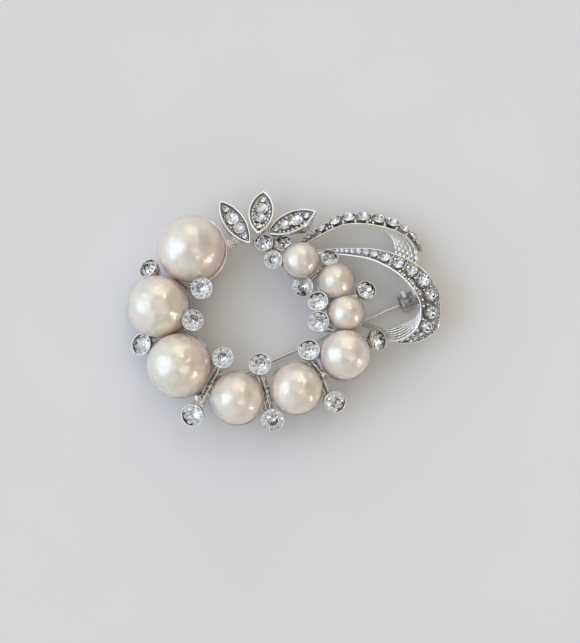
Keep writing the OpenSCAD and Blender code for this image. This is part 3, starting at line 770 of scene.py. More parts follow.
class LeafProps(bpy.types.PropertyGroup):
    length: length_of("Length", "Length of a leaf", 10.4, 8, 12)
    width: length_of("Width", "Width of a leaf", 4.9, 3, 6)
    depth: length_of("Depth", "Depth of a leaf at its middle", 2.3, 1, 3)
    rim: length_of("Rim", "Width of the rim round a leaf", 0.4, 0.2, 0.8)
    floor: length_of("Floor", "Depth of the floor below the rim", 0.6, 0.2, 1)


class RibbonProps(bpy.types.PropertyGroup):
    jewelled_wall: length_of("Jewelled side", "Thickness of the jewelled side", 1.15, 0.8, 1.6)
    ribbed_wall: length_of("Ribbed side", "Thickness of the ribbed side", 0.8, 0.4, 1.2)
    ridge: length_of("Ridge", "Width of the bright ridge between the two sides", 0.42, 0.3, 0.8)
    edge: length_of("Edge", "Width of the thin rim along the far edge", 0.28, 0.15, 0.5)
    channel: length_of("Channel", "Depth of the channel that holds the crystals", 0.55, 0.3, 0.8)
    ribs: number_of("Ribs", "Ribs along the ribbed side", 6, 2, 10)
    rib_depth: length_of("Rib depth", "Depth of the grooves between the ribs", 0.3, 0, 0.4)
    notch: length_of("Notch spacing", "Distance from one notch of a rib to the next", 0.9, 0.4, 2)
    notch_depth: length_of("Notch depth", "Depth of the notches in the ribs", 0.22, 0, 0.3)
    bead_spacing: length_of("Bead spacing", "Step from one large metal bead to the next", 1.1, 0.6, 2)
    bead_radius: length_of("Bead radius", "Radius of the large metal beads", 0.36, 0.15, 0.45)
    grain_spacing: length_of("Grain spacing", "Step from one small metal bead to the next", 0.45, 0.3, 1)


class StageProps(bpy.types.PropertyGroup):
    distance: length_of("Camera distance", "From the camera to the brooch", 320, 100, 2000)
    tilt: FloatProperty(name="Camera tilt", description="Lean of the camera from straight above",
                        subtype="ANGLE", default=math.radians(5.5), min=0, max=1.5)
    view_height: length_of("View height", "Height of the view at that distance", 122.17, 50, 1000)
    window: share_of("Window", "Brightness of the large soft window on the left", 2.05, 0, 50)
    spot: share_of("Lamp", "Brightness of the small warm lamp low on the right", 9.0, 0, 50)
    left: colour_of("Left of the room", "Light from the left of the room", (0.72, 0.75, 0.78))
    right: colour_of("Right of the room", "Light from the right of the room", (0.44, 0.385, 0.32))
    floor: colour_of("Floor", "Colour of the plain floor", (0.85, 0.835, 0.81))


# Pieces.

class BROOCH_OT_stage(bpy.types.Operator):
    """Plain pale floor, a room with a large soft window, and the camera"""
    bl_idname = "brooch.stage"
    bl_label = "Stage"

    def execute(self, context):
        props = context.scene.brooch_stage
        n = Nodes("Floor")
        darker = tuple(0.97 * c for c in props.floor)
        clouds = n.ramp(n.noise(40 * MM, 2), [(0.3, darker), (0.7, tuple(props.floor))])
        n.link(clouds, n.shader.inputs["Base Color"])
        n.set(Roughness=0.75)
        half, level = 1.5, -0.01 * MM
        corners = [(half * x, half * y, level) for x, y in ((-1, -1), (1, -1), (1, 1), (-1, 1))]
        mesh = bpy.data.meshes.new("floor")
        mesh.from_pydata(corners, [], [(0, 1, 2, 3)])
        mesh.materials.append(n.material)
        floor = bpy.data.objects.new("floor", mesh)
        context.scene.collection.objects.link(floor)

        context.scene.world = self.room(props)
        context.scene.view_settings.view_transform = "Standard"

        camera = bpy.data.cameras.new("camera")
        camera.sensor_width = 36
        camera.lens = camera.sensor_width * props.distance / props.view_height
        camera.clip_start, camera.clip_end = 0.01, 10
        eye = bpy.data.objects.new("camera", camera)
        back = np.array([0, -math.sin(props.tilt), math.cos(props.tilt)])
        eye.location = AIM + props.distance * back
        eye.rotation_euler = (props.tilt, 0, 0)
        context.scene.collection.objects.link(eye)
        context.scene.camera = eye
        return {"FINISHED"}

    def room(self, props):
        """Light by direction: a room brighter on the left, with soft-edged round patches in it.

        A patch's share goes smoothly from 1 at its inner angle from its direction to 0 at its outer one.
        """
        world = bpy.data.worlds.new("Room")
        world.use_nodes = True
        tree = world.node_tree
        direction = tree.nodes.new("ShaderNodeTexCoord").outputs["Generated"]

        # Rows: direction, inner and outer angle in degrees, colour, strength.
        patches = {
            "left of the room": ((-1, 0.1, 0.5), 35, 125, props.left, 1),
            "pale wall behind": ((0.1, 0.86, 0.5), 8, 34, (1.0, 0.95, 0.84), 1.35),
            "dark ceiling near the camera": ((0, -0.5, 0.86), 5, 20, (0.27, 0.26, 0.25), 1),
            "dark corner on the right": ((0.76, 0.2, 0.62), 8, 24, (0.2, 0.16, 0.12), 1),
            "pale lamp above": ((0.38, -0.34, 0.86), 4, 11, (1.0, 0.98, 0.92), 1.7),
            "window": ((-0.8, -0.03, 0.6), 17, 38, (0.66, 0.775, 1.0), props.window),
            "low lamp": ((0.84, -0.5, 0.17), 4, 8, (1.0, 0.94, 0.84), props.spot),
            "high lamp": ((0.35, 0.5, 0.79), 3, 6, (1.0, 0.98, 0.95), 0.6 * props.spot),
        }
        light = None
        for towards, inner, outer, tint, strength in patches.values():
            blend = tree.nodes.new("ShaderNodeMix")
            blend.data_type = "RGBA"
            dot = tree.nodes.new("ShaderNodeVectorMath")
            dot.operation = "DOT_PRODUCT"
            dot.inputs[1].default_value = unit(np.array(towards, float))
            tree.links.new(direction, dot.inputs[0])
            smooth = tree.nodes.new("ShaderNodeMapRange")
            smooth.interpolation_type = "SMOOTHSTEP"
            smooth.inputs["From Min"].default_value = math.cos(math.radians(outer))
            smooth.inputs["From Max"].default_value = math.cos(math.radians(inner))
            tree.links.new(dot.outputs["Value"], smooth.inputs["Value"])
            tree.links.new(smooth.outputs["Result"], blend.inputs["Factor"])
            if light is None:
                blend.inputs[MIX_FIRST].default_value = (*props.right, 1)
            else:
                tree.links.new(light, blend.inputs[MIX_FIRST])
            blend.inputs[MIX_SECOND].default_value = (*(strength * c for c in tint), 1)
            light = blend.outputs[MIX_RESULT]
        tree.links.new(light, tree.nodes["Background"].inputs["Color"])
        return world


class BROOCH_OT_pearls(bpy.types.Operator):
    """Nine glossy pearls, each a slightly uneven ball drilled for its peg"""
    bl_idname = "brooch.pearls"
    bl_label = "Pearls"

    def execute(self, context):
        props = context.scene.brooch_pearls
        for number in range(1, PEARLS + 1):
            centre, radius = pearl_ball(number)
            axis = leaning(*CUP_LEANS[number - 1])
            hole, hole_depth = 0.5 * MM, 0.55 * radius
            start = math.asin(hole / radius)
            polar = np.linspace(0, math.pi - start, props.rows)
            outside = np.stack([np.sin(polar), np.cos(polar)], axis=-1) * radius
            bottom = -radius * math.cos(start)
            inside = [[hole, bottom + 0.1 * MM], [hole, bottom + hole_depth], [0, bottom + hole_depth]]
            phase = 1.3 * number

            def swell(direction):
                """Draws the surface in by 0 to the undulation, by three sine waves of the direction."""
                x, y, z = np.moveaxis(direction, -1, 0)
                waves = np.sin(3.1 * x + 2.2 * y + phase) + np.sin(4.3 * y - 2.7 * z + 2 * phase)
                waves += 0.6 * np.sin(6.1 * z + 5.2 * x + 3 * phase)
                return -props.undulation * (0.5 + waves / 5.2)

            # Painted reflection: the share of pink is nought near a pearl's top and grows towards its
            # sides and bottom.
            side_reflection_share = np.clip((np.append(polar, [math.pi] * 3) - 0.65) / 0.85, 0, 1) ** 1.4
            ball = turned(np.vstack([outside, inside]), centre, axis, props.sides, swell=swell,
                          shade=side_reflection_share)
            make_piece(f"pearl_{number}_nacre", [ball], [finish("pearl")], "brooch",
                       [f"pearl_{number}"], crease=40)
        return {"FINISHED"}


class BROOCH_OT_cups(bpy.types.Operator):
    """Thin dish cup under each pearl, with its peg, and feet under the three largest"""
    bl_idname = "brooch.cups"
    bl_label = "Dish cups"

    def execute(self, context):
        metal = context.scene.brooch_metal
        surfaces = []
        for number in range(1, PEARLS + 1):
            centre, radius = pearl_ball(number)
            axis = leaning(*CUP_LEANS[number - 1])
            # Painted shade on the cup lips: little on the first pearl's cup, more on the rest.
            surfaces.append(self.dish(centre, radius, axis, metal, 0.1 if number == 1 else 0.5))
            surfaces.append(self.peg(centre, radius, axis))
            if number in FOOTED:
                surfaces.append(self.foot(centre, radius, axis, metal))
        metal_piece("dish_cups", surfaces, crease=50)
        return {"FINISHED"}

    def dish(self, centre, radius, axis, metal, lip_painted_shade):
        """Shell between two balls below the rim's plane, closed by a half-round lip.

        A ball's row is its radius times the sine of the angle from its bottom, and as far down as its
        radius times the cosine.
        """
        inner = radius + metal.pearl_gap
        outer = inner + metal.cup_wall
        lip_height, rows_in, rows_out = 0.08 * MM, 26, 30
        rim = -metal.cup_bare * radius - lip_height
        up_in = np.linspace(0, math.acos(-rim / inner), rows_in)
        up_out = np.linspace(math.acos(-rim / outer), 0, rows_out)
        lip = np.linspace(math.pi, 0, 7)[1:-1]
        middle = (inner * math.sin(up_in[-1]) + outer * math.sin(up_out[0])) / 2
        half = (outer * math.sin(up_out[0]) - inner * math.sin(up_in[-1])) / 2
        profile = np.vstack([
            np.stack([inner * np.sin(up_in), -inner * np.cos(up_in)], axis=-1),
            np.stack([middle + half * np.cos(lip), rim + lip_height * np.sin(lip)], axis=-1),
            np.stack([outer * np.sin(up_out), -outer * np.cos(up_out)], axis=-1),
        ])
        # Painted shade: darkest inside under the pearl, the lip's own amount on the lip, and deepening
        # down the outside.
        darkening = np.concatenate([
            np.full(rows_in, 0.75), np.full(len(lip), lip_painted_shade), np.linspace(lip_painted_shade, 0.3, rows_out),
        ])
        return turned(profile, centre, axis, 96, shade=darkening)

    def peg(self, centre, radius, axis):
        """Turned peg with an eased end, from the cup up into the drilled pearl."""
        r, low, high = 0.45 * MM, -radius - WALL_MIDDLE, -0.46 * radius
        ease = 0.1 * MM
        profile = [[0, low], [r, low], [r, high - ease], [r - ease, high], [0, high]]
        return turned(profile, centre, axis, 16, shade=0.4)

    def foot(self, centre, radius, axis, metal):
        """Short turned stub with eased edges, upright and flat on the table."""
        bottom = centre - radius * axis
        ground = np.array([bottom[0], bottom[1], 0])
        r, ease = metal.foot_radius, 0.12 * MM
        top = bottom[2] + 0.3 * MM
        profile = [[0, 0], [r - ease, 0], [r, ease], [r, top - ease], [r - ease, top], [0, top]]
        return turned(profile, ground, UPRIGHT, 48, shade=0.1)


class BROOCH_OT_bars(bpy.types.Operator):
    """Grainy cast bars that join the cups, and the knot beside the leaves"""
    bl_idname = "brooch.bars"
    bl_label = "Wreath bars"

    def execute(self, context):
        metal = context.scene.brooch_metal
        surfaces = []
        for i in range(PEARLS - 1):
            a, b = bar_end(i, i + 1, metal), bar_end(i + 1, i, metal)
            surfaces.append(cast_bar(a, b, 48, metal.bar_radius, sides=40, rough=0.12))
            surfaces.append(nugget((a + b) / 2, (0.95 if i in WIDE_GAPS else 0.85) * MM, i))
        # From the knot to the cup of the last pearl.
        last, last_radius = pearl_ball(PEARLS)
        low = math.radians(60)
        toward_knot = np.array([-math.cos(low) * 0.9, math.cos(low) * 0.4, -math.sin(low)])
        cup = last + (last_radius + WALL_MIDDLE) * toward_knot
        surfaces.append(cast_bar(KNOT, cup, 40, metal.bar_radius, sides=40, rough=0.12))
        # From the left leaf to the cup of the first pearl.
        first, first_radius = pearl_ball(1)
        low = math.radians(22)
        cup = first + (first_radius + WALL_MIDDLE) * np.array([math.cos(low), 0.08, -math.sin(low)])
        leaf = leaf_point(0, -2.7 * MM, 1.35 * MM)
        surfaces.append(cast_bar(leaf, cup, 60, 0.9 * MM, sides=48, rough=0.13))
        surfaces += [nugget(leaf + share * (cup - leaf), 1.02 * MM, 20 * share) for share in (0.3, 0.7)]
        for i, along in enumerate(LEAF_ROOTS):
            root = leaf_point(i, along * MM, 1.4 * MM)
            surfaces.append(rod(straight(KNOT, root, 40), 0.5 * MM, 32, 0.07, shade=0.1))
        surfaces.append(turned(half_round(14) * MM, KNOT, UPRIGHT, 32, shade=0.25))
        metal_piece("wreath_bars", surfaces)
        return {"FINISHED"}


class BROOCH_OT_tube_cups(bpy.types.Operator):
    """Tube cup with a thin rolled lip round each crystal, its stalk and its grainy branch"""
    bl_idname = "brooch.tube_cups"
    bl_label = "Tube cups"

    def execute(self, context):
        metal, props = context.scene.brooch_metal, context.scene.brooch_crystals
        cups, branches = [], []
        for number in range(1, STONES + 1):
            at, axis, girdle_radius = stone_seat(number)
            root = branch_root(number, metal)
            drop = (at[2] - min(root[2], at[2] - 2.2 * MM)) / axis[2]
            foot = at - drop * axis
            outer = girdle_radius + props.fill + props.gap + props.wall
            cups.append(self.cup(at, axis, outer, drop, props))
            branches.append(turned(half_round(12) * 0.72 * MM, foot, axis, 24, shade=0.25))
            end = root + 0.3 * MM * unit(foot - root)
            way = end - foot
            left = unit(np.cross(UPRIGHT, way))
            for stone, share, shift, radius in NUGGETS:
                if stone == number:
                    at_bar = foot + share * way + shift * MM * left
                    branches.append(nugget(at_bar, radius * MM, stone + share))
            branches.append(cast_bar(foot, end, 64, metal.branch_radius, sides=36, rough=0.09))
            if number in TWINS:
                beside = 0.85 * MM * left * TWINS[number]
                beside[2] -= 0.2 * MM
                near = foot + 0.12 * way + beside
                branches.append(cast_bar(near, end + beside, 56, 0.55 * MM, 32, 0.13, 0.5 * MM))
        metal_piece("tube_cups", cups, crease=42)
        metal_piece("branches", branches)
        return {"FINISHED"}

    def cup(self, at, axis, r, drop, props):
        """Profile from the stalk up a flared wall to a rolled lip, then down the seat to its point.

        It is turned about the crystal's axis, with its heights counted from the girdle.
        """
        stalk, step, inner = 0.6 * MM, 0.9 * MM, r - props.wall
        lip = np.linspace(0, 1.12 * math.pi, 9)
        roll, rise = (props.wall + props.gap + props.overlap) / 2, 0.09 * MM
        rim = np.stack([r - roll + roll * np.cos(lip), props.lip - rise + rise * np.sin(lip)], axis=-1)
        collar = [
            [r - 0.05 * MM, -step + 0.1 * MM], [r - 0.03 * MM, -0.35 * MM], [r - 0.05 * MM, -0.25 * MM]]
        seat = 0.76 * inner + 0.22 * MM
        profile = np.vstack([
            [[0, -drop], [stalk, -drop], [stalk, -props.depth - 0.15 * MM]],
            [[stalk + 0.05 * MM, -props.depth - 0.05 * MM], [0.55 * r, -props.depth + 0.05 * MM]],
            [[0.55 * r + 0.08 * MM, -props.depth + 0.14 * MM], [r - 0.12 * MM, -step - 0.1 * MM]],
            collar, rim,
            [[inner, 0.06 * MM], [inner, -0.12 * MM], [0.15 * MM, -seat], [0, -seat]],
        ])
        # Darker towards the stalk, just under the rolled lip, and most in the seat under the crystal.
        darkening = np.concatenate([
            [0.3, 0.3, 0.4, 0.45, 0.3, 0.15, 0.05], [0.05, 0.05, 0.35],
            np.zeros(9), [0.4, 0.8, 0.9, 0.9],
        ])
        return turned(profile, at, axis, 72, shade=darkening)


class BROOCH_OT_crystals(bpy.types.Operator):
    """Nineteen round cut stones with silvered backs"""
    bl_idname = "brooch.crystals"
    bl_label = "Crystals"

    def execute(self, context):
        props = context.scene.brooch_crystals
        for number in range(1, STONES + 1):
            at, axis, radius = stone_seat(number)
            radius += props.fill
            stone = chaton(at, axis, radius, props.crown * radius, 0.12 * MM, props.back * radius,
                           turn=0.37 * number)
            make_piece(f"stone_{number:02d}_cut", [stone], finish("stone"),
                       "brooch", [f"stone_{number:02d}"])
        return {"FINISHED"}


def leaf_frame(leaf):
    """Middle of a leaf's rim and its three directions: along, across and out of its face.

    The axes of the plan are turned by the direction, then by the pitch, then by the roll.
    """
    x, y, z, direction, pitch, roll, _ = LEAVES[leaf]
    d, p, r = (math.radians(v) for v in (direction, pitch, roll))
    spin = np.array([[math.cos(d), -math.sin(d), 0], [math.sin(d), math.cos(d), 0], [0, 0, 1]])
    nod = np.array([[math.cos(p), 0, -math.sin(p)], [0, 1, 0], [math.sin(p), 0, math.cos(p)]])
    tip = np.array([[1, 0, 0], [0, math.cos(r), -math.sin(r)], [0, math.sin(r), math.cos(r)]])
    return np.array([x, y, z]) * MM + PLAN, spin @ nod @ tip


def leaf_point(leaf, along, depth):
    """Point on a leaf's long axis, a given depth below its rim."""
    middle, turn = leaf_frame(leaf)
    return middle + turn @ np.array([along, 0, -depth])


def leaf_outline(length, width, inset, count=144):
    """Pointed oval between two arcs, drawn in by an inset, with the last of each tip rounded off.

    The arcs' radius is the squares of length and width added, divided by four widths. y is the root
    of two squares' difference, of the radius less the inset and of x; from it is taken how far the
    arcs' centres lie from the long axis, which is the radius less half the width.
    """
    big = (length ** 2 + width ** 2) / (4 * width)
    turn = np.linspace(0, 2 * math.pi, count, endpoint=False)
    inset = np.asarray(inset, float)[..., None]
    tip = np.sqrt(np.maximum((big - inset) ** 2 - (big - width / 2) ** 2, 1e-12))
    reach = tip * 0.965
    x = reach * np.cos(turn)
    y = np.sqrt((big - inset) ** 2 - x ** 2) - (big - width / 2)
    y = y * np.sqrt(np.clip(1 - (x / reach) ** 26, 0, 1)) * np.sign(np.sin(turn) + 1e-12)
    return x, y


class BROOCH_OT_leaves(bpy.types.Operator):
    """Three boat-shaped leaves with a rounded rim, crystals and metal beads on a dark floor"""
    bl_idname = "brooch.leaves"
    bl_label = "Leaves"

    def execute(self, context):
        props = context.scene.brooch_leaves
        beads = []
        for leaf, name in enumerate(LEAF_NAMES):
            middle, turn = leaf_frame(leaf)
            width = props.width * LEAVES[leaf][6]
            boat = self.boat(middle, turn, width, props, *LEAF_TAPERS[leaf])
            metal_piece(f"leaf_{name}", [boat], crease=60)
            cut = []
            for along, radius in LEAF_STONES:
                at = middle + turn @ np.array([along, 0, 0.53 * MM - props.floor])
                cut.append(chaton(at, turn[:, 2], 1.1 * radius, 0.12 * MM + 0.22 * radius, 0.05 * MM,
                                  0.33 * MM, 0.55, along / MM))
            small, beads_here = self.pave(middle, turn, width, props)
            make_piece(f"leaf_{name}_crystals", cut + small, finish("small stone"),
                       "brooch", [f"leaf_stones_{name}"])
            beads += beads_here
        metal_piece("leaf_beads", beads, replaced=())
        return {"FINISHED"}

    def boat(self, middle, turn, width, props, drawn, belly):
        """Rows of the outline drawn in and lowered: floor, inner wall, round rim, side and keel.

        The keel is a ball's cap, as deep as the leaf in its middle: z is the ball's radius less the
        depth, less the root of the radius squared less x squared and y squared. The sides are drawn
        in towards it, less so where the belly bulges in a bell curve along the leaf.
        """
        rim, floor, round_ = props.rim, props.floor, 0.14 * MM
        half = width / 2
        inner = [
            (half * 0.995, -floor), (half * 0.8, -floor), (half * 0.5, -floor), (rim + 0.3 * MM, -floor),
            (rim + 0.04 * MM, -floor), (rim, -floor + 0.05 * MM), (rim, -0.16 * MM)]
        arc = np.linspace(math.pi, 0, 9)
        top = np.stack([rim / 2 - rim / 2 * np.cos(arc), -round_ + round_ * np.sin(arc)], axis=-1)
        rows = np.vstack([inner, top])
        x, y = leaf_outline(props.length, width, rows[:, 0])
        z = np.broadcast_to(rows[:, 1:], x.shape)
        rise = props.depth - TIP_DEPTH
        keel = (props.length ** 2 / 4 + rise ** 2) / (2 * rise)
        x0, y0 = leaf_outline(props.length, width, np.array([0.0]))
        bulge = belly * np.exp(-((x0[0] / MM - BELLY_PLACE) / BELLY_REACH) ** 2)
        taper = 1 - (drawn - bulge) / half
        down = np.linspace(0.12, 1, 8)[:, None]

        def bottom(px, py):
            return keel - props.depth - np.sqrt(keel ** 2 - px ** 2 - py ** 2)

        squeeze = 1 - (1 - taper) * down
        side_x, side_y = x0 * (1 - 0.02 * down), y0 * squeeze
        side_z = down * bottom(x0, y0)
        under = np.linspace(0.9, 0.1, 8)[:, None]
        under_x, under_y = side_x[-1:] * under, side_y[-1:] * under
        under_z = bottom(under_x, under_y)
        columns = (x, side_x, under_x), (y, side_y, under_y), (z, side_z, under_z)
        grid = np.stack([np.vstack(column) for column in columns], axis=-1)
        # The floor and inner wall are darkened as tarnish; the outer side gets painted shade that
        # deepens downwards, and the keel under it painted shade too.
        rows_tarnish_and_shade = np.concatenate([
            np.full(5, 0.64), [0.6, 0.2], np.zeros(9), np.linspace(0.12, 0.35, 8), np.full(8, 0.3)])
        poles = np.array([[0, 0, -floor], [0, 0, -props.depth]])
        surface = skin(grid, poles, rows_tarnish_and_shade[:, None])
        surface.points = middle + surface.points @ turn.T
        surface.faces = outward(surface.points - middle, surface.faces)
        return surface

    def pave(self, middle, turn, width, props):
        """Small stones and metal beads inside the rim, wherever the large stones leave room."""
        small, beads = [], []
        large = LEAF_STONES * [1, 0]
        # Rows: distance inside the rim, radius, height above the floor, places round the leaf, and
        # the list that the row adds to: stones or beads.
        for inside, radius, height, count, made in (
                (0.42 * MM, 0.34 * MM, 0.2 * MM, 26, small),
                (0.2 * MM, 0.15 * MM, 0.05 * MM, 46, beads),
                (0.85 * MM, 0.16 * MM, 0.05 * MM, 22, beads)):
            inset = np.array([props.rim + inside])
            spots = np.vstack(leaf_outline(props.length - 0.5 * MM, width, inset, count)).T
            step = np.linalg.norm(spots - np.roll(spots, 1, axis=0), axis=1)
            clear = np.linalg.norm(spots[:, None] - large, axis=-1) - LEAF_STONES[:, 1]
            keep = (clear.min(axis=1) > radius * 0.8) & (step > 1.5 * radius)
            for px, py in spots[keep]:
                at = middle + turn @ np.array([px, py, -props.floor + height])
                if made is small:
                    made.append(chaton(at, turn[:, 2], radius, 0.12 * MM, 0.03 * MM, 0.16 * MM,
                                       table=0.5, turn=px / MM))
                else:
                    made.append(bead(at, turn[:, 2], radius))
        return small, beads


def along_table(table, place):
    """Smooth curve through a table's rows, at a place along it.

    Each column is a cubic from row to row, whose slope at a row is half the step from the row before
    it to the row after it.
    """
    table = np.asarray(table, float) * MM
    table = table + np.tile(PLAN, 3)
    place = np.atleast_1d(np.asarray(place, float))
    last = len(table) - 1
    i = np.clip(place.astype(int), 0, last - 1)
    t = (place - i)[:, None]
    padded = np.vstack([2 * table[0] - table[1], table, 2 * table[-1] - table[-2]])
    a, b, c, d = padded[i], padded[i + 1], padded[i + 2], padded[i + 3]
    rows = 0.5 * (2 * b + (c - a) * t + (2 * a - 5 * b + 4 * c - d) * t ** 2
                  + (3 * b - a - 3 * c + d) * t ** 3)
    return rows[:, 0:3], rows[:, 3:6], rows[:, 6:9]


def ribbon_facing(table, place):
    """Ridge, width, directions across and down, and the normal out of the jewelled side.

    The normal is the ribbon's direction crossed with the way across, turned away from the ribbed side.
    """
    ridge, far, rib = along_table(table, place)
    ahead = along_table(table, np.asarray(place) + 0.05)[0]
    behind = along_table(table, np.asarray(place) - 0.05)[0]
    width = np.linalg.norm(far - ridge, axis=1)
    across, down = unit(far - ridge), unit(rib - ridge)
    out = unit(np.cross(unit(ahead - behind), across))
    out = np.where(np.einsum("ij,ij->i", out, down)[:, None] > 0, -out, out)
    return ridge, width, across, down, out


def channel_parts(width, props):
    """Widths of the ridge and of the far edge and the channel's depth, held back where it is narrow."""
    return (np.minimum(props.ridge, 0.28 * width), np.minimum(props.edge, 0.15 * width),
            np.minimum(props.channel, 0.3 * width))


class BROOCH_OT_ribbons(bpy.types.Operator):
    """Two ribbon loops with a jewelled channel, a bright ridge and a ribbed inner side"""
    bl_idname = "brooch.ribbons"
    bl_label = "Ribbons"

    def execute(self, context):
        props = context.scene.brooch_ribbons
        # Rows: name, tables, how far the stones stand proud and sit outward, their growth, and how much
        # the ribs' grooves and notches darken.
        for name, table, stones, proud, outer, growth, groove_darkening in (
                ("front", FRONT_RIBBON, FRONT_STONES, 0.28 * MM, 0.05 * MM, 1.13, 1.1),
                ("back", BACK_RIBBON, BACK_STONES, 0.45 * MM, 0.2 * MM, 1.22, 0.6)):
            metal_piece(f"ribbon_{name}", [self.band(table, props, groove_darkening)], crease=55)
            cut = self.stones(table, stones, props, proud, outer, growth)
            make_piece(f"ribbon_{name}_crystals", cut, finish("small stone"),
                       "brooch", [f"ribbon_{name}_stones"])
            beads = self.beads(table, stones, props, name == "front")
            metal_piece(f"ribbon_{name}_beads", beads, replaced=())
        return {"FINISHED"}

    def band(self, table, props, groove_darkening):
        """Section carried along the table: a point is the ridge's, plus x across and y down.

        The section has a half-round ridge and edge round a sunk channel. Its ribbed side is cut in
        between the ribs, by the rib depth times 1 less a sine raised to 0.8, with half a wave to each
        rib. Each rib has notches, half a step on from those of the next, that deepen where the ribbon
        grows narrow.
        """
        place = np.linspace(0, len(table) - 1, 32 * (len(table) - 1) + 1)
        ridge, far, rib = along_table(table, place)
        travel = np.append(0, np.cumsum(np.linalg.norm(np.diff(rib, axis=0), axis=1)))[:, None]
        w = np.linalg.norm(far - ridge, axis=1)[:, None]
        h = np.linalg.norm(rib - ridge, axis=1)[:, None]
        crest, edge, sunk = channel_parts(w, props)
        back = np.minimum(props.ribbed_wall, 0.6 * w)
        wall = np.minimum(props.jewelled_wall, 0.6 * h)
        round_ = np.linspace(math.pi, 0, 7)
        ones = np.ones_like(w)
        crest_x = crest * (0.5 + 0.5 * np.cos(round_))
        crest_y = 0.3 * crest * (1 - np.sin(round_))
        edge_x = w - edge + edge * (0.5 + 0.5 * np.cos(round_))
        edge_y = 0.35 * edge * (1 - np.sin(round_))
        share = np.linspace(1, 0, 10 * props.ribs + 1)
        hollow = 1 - np.abs(np.sin(math.pi * props.ribs * share)) ** 0.8
        rib_y = crest_y[:, :1] + share * (h - crest_y[:, :1])
        narrow = np.clip(h / (3 * MM), 0.3, 1)
        row = np.floor(props.ribs * share * 0.999)
        weave = 0.5 + 0.5 * np.sin(2 * math.pi * travel / props.notch + math.pi * row)
        thin = np.clip((3 * MM - w) / (1.2 * MM), 0, 1) * np.clip((place[:, None] - 6) / 2, 0, 1)
        notch = (0.2 + 0.8 * thin) * weave * (1 - hollow)
        rib_x = (props.rib_depth * hollow + props.notch_depth * notch) * narrow
        x = np.hstack([crest_x, crest, w - edge, edge_x, w, back, back, rib_x[:, :-1]])
        y = np.hstack([crest_y, sunk, sunk, edge_y, wall, wall, h, rib_y[:, :-1]])
        flat_darkening = np.concatenate([np.zeros(7), [0.5, 0.5], np.zeros(7), [0.3, 0.4, 0.2]])
        rib_darkening = np.clip(groove_darkening * (0.02 + 0.52 * hollow + 0.45 * notch), 0, 1)[:, :-1]
        darkening = np.hstack([flat_darkening * ones, rib_darkening])
        grid = (ridge[:, None] + x[..., None] * ((far - ridge) / w)[:, None]
                + y[..., None] * ((rib - ridge) / h)[:, None])
        poles = np.array([grid[0].mean(axis=0), grid[-1].mean(axis=0)])
        return skin(grid, poles, darkening)

    def stones(self, table, stones, props, proud, outer, growth):
        """Stones with their girdles a little above the channel's rims and their points inside it."""
        stones = np.array(stones)
        ridge, width, across, down, out = ribbon_facing(table, stones[:, 0])
        depth = -channel_parts(width, props)[2] * np.einsum("ij,ij->i", down, out)
        clearance = 0.13 * MM
        at = ridge + (stones[:, 1] * width + outer)[:, None] * across + proud * out
        return [
            chaton(at[i], out[i], growth * r * MM, 0.1 * MM + 0.28 * r * MM, 0.06 * MM,
                   depth[i] + proud - clearance, 0.55, 1.1 * i)
            for i, r in enumerate(stones[:, 2])
        ]

    def beads(self, table, stones, props, far_row):
        """Rows of raised beads inside the ridge, and the far edge too, where the stones leave room."""
        stones = np.array(stones)
        fine = np.linspace(0.4, len(table) - 1.2, 400)
        ridge = ribbon_facing(table, fine)[0]
        travel = np.append(0, np.cumsum(np.linalg.norm(np.diff(ridge, axis=0), axis=1)))
        stone_ridge, stone_width, stone_across = ribbon_facing(table, stones[:, 0])[:3]
        stone_at = stone_ridge + (stones[:, 1] * stone_width)[:, None] * stone_across
        made = []
        for from_ridge, large in ((True, True), (True, False), (False, False))[:3 if far_row else 2]:
            spacing = props.bead_spacing if large else props.grain_spacing
            even = np.interp(np.arange(0, travel[-1], spacing), travel, fine)
            ridge, width, across, down, out = ribbon_facing(table, even)
            crest, edge, sunk = channel_parts(width, props)
            radius = np.clip(0.1 * width, 0.12 * MM, 0.2 * MM)
            if large:
                radius = np.full_like(width, props.bead_radius)
            x = crest + radius + 0.02 * MM if from_ridge else width - edge - radius
            level = ridge + x[:, None] * across
            at = level + (0.5 * sunk)[:, None] * down
            gaps = np.linalg.norm(level[:, None] - stone_at[None], axis=-1) - stones[:, 2] * MM
            wide = width > 2.3 * MM
            keep = (gaps.min(axis=1) > 0.62 * radius) & (width > 1.0 * MM)
            if from_ridge:
                keep &= wide if large else ~wide
            made += [bead(at[i], out[i], radius[i]) for i in np.flatnonzero(keep)]
        return made + self.prongs(table, stones)

    def prongs(self, table, stones):
        """A pair of raised beads between each two large stones, one towards either edge."""
        between = (stones[1:] + stones[:-1]) / 2
        between = between[np.minimum(stones[1:, 2], stones[:-1, 2]) > 0.6]
        ridge, width, across, _, out = ribbon_facing(table, between[:, 0])
        level = ridge + (between[:, 1] * width)[:, None] * across + 0.08 * MM * out
        return [bead(level[i] + side * 0.62 * r * MM * across[i], out[i], 0.27 * MM)
                for i, r in enumerate(between[:, 2]) for side in (1, -1)]


def pin_axes():
    """Directions along the pin wire, to its left in plan, and up."""
    along = np.array([math.cos(PIN_DIRECTION), math.sin(PIN_DIRECTION), 0])
    up = np.array(UPRIGHT)
    return along, np.cross(up, along), up


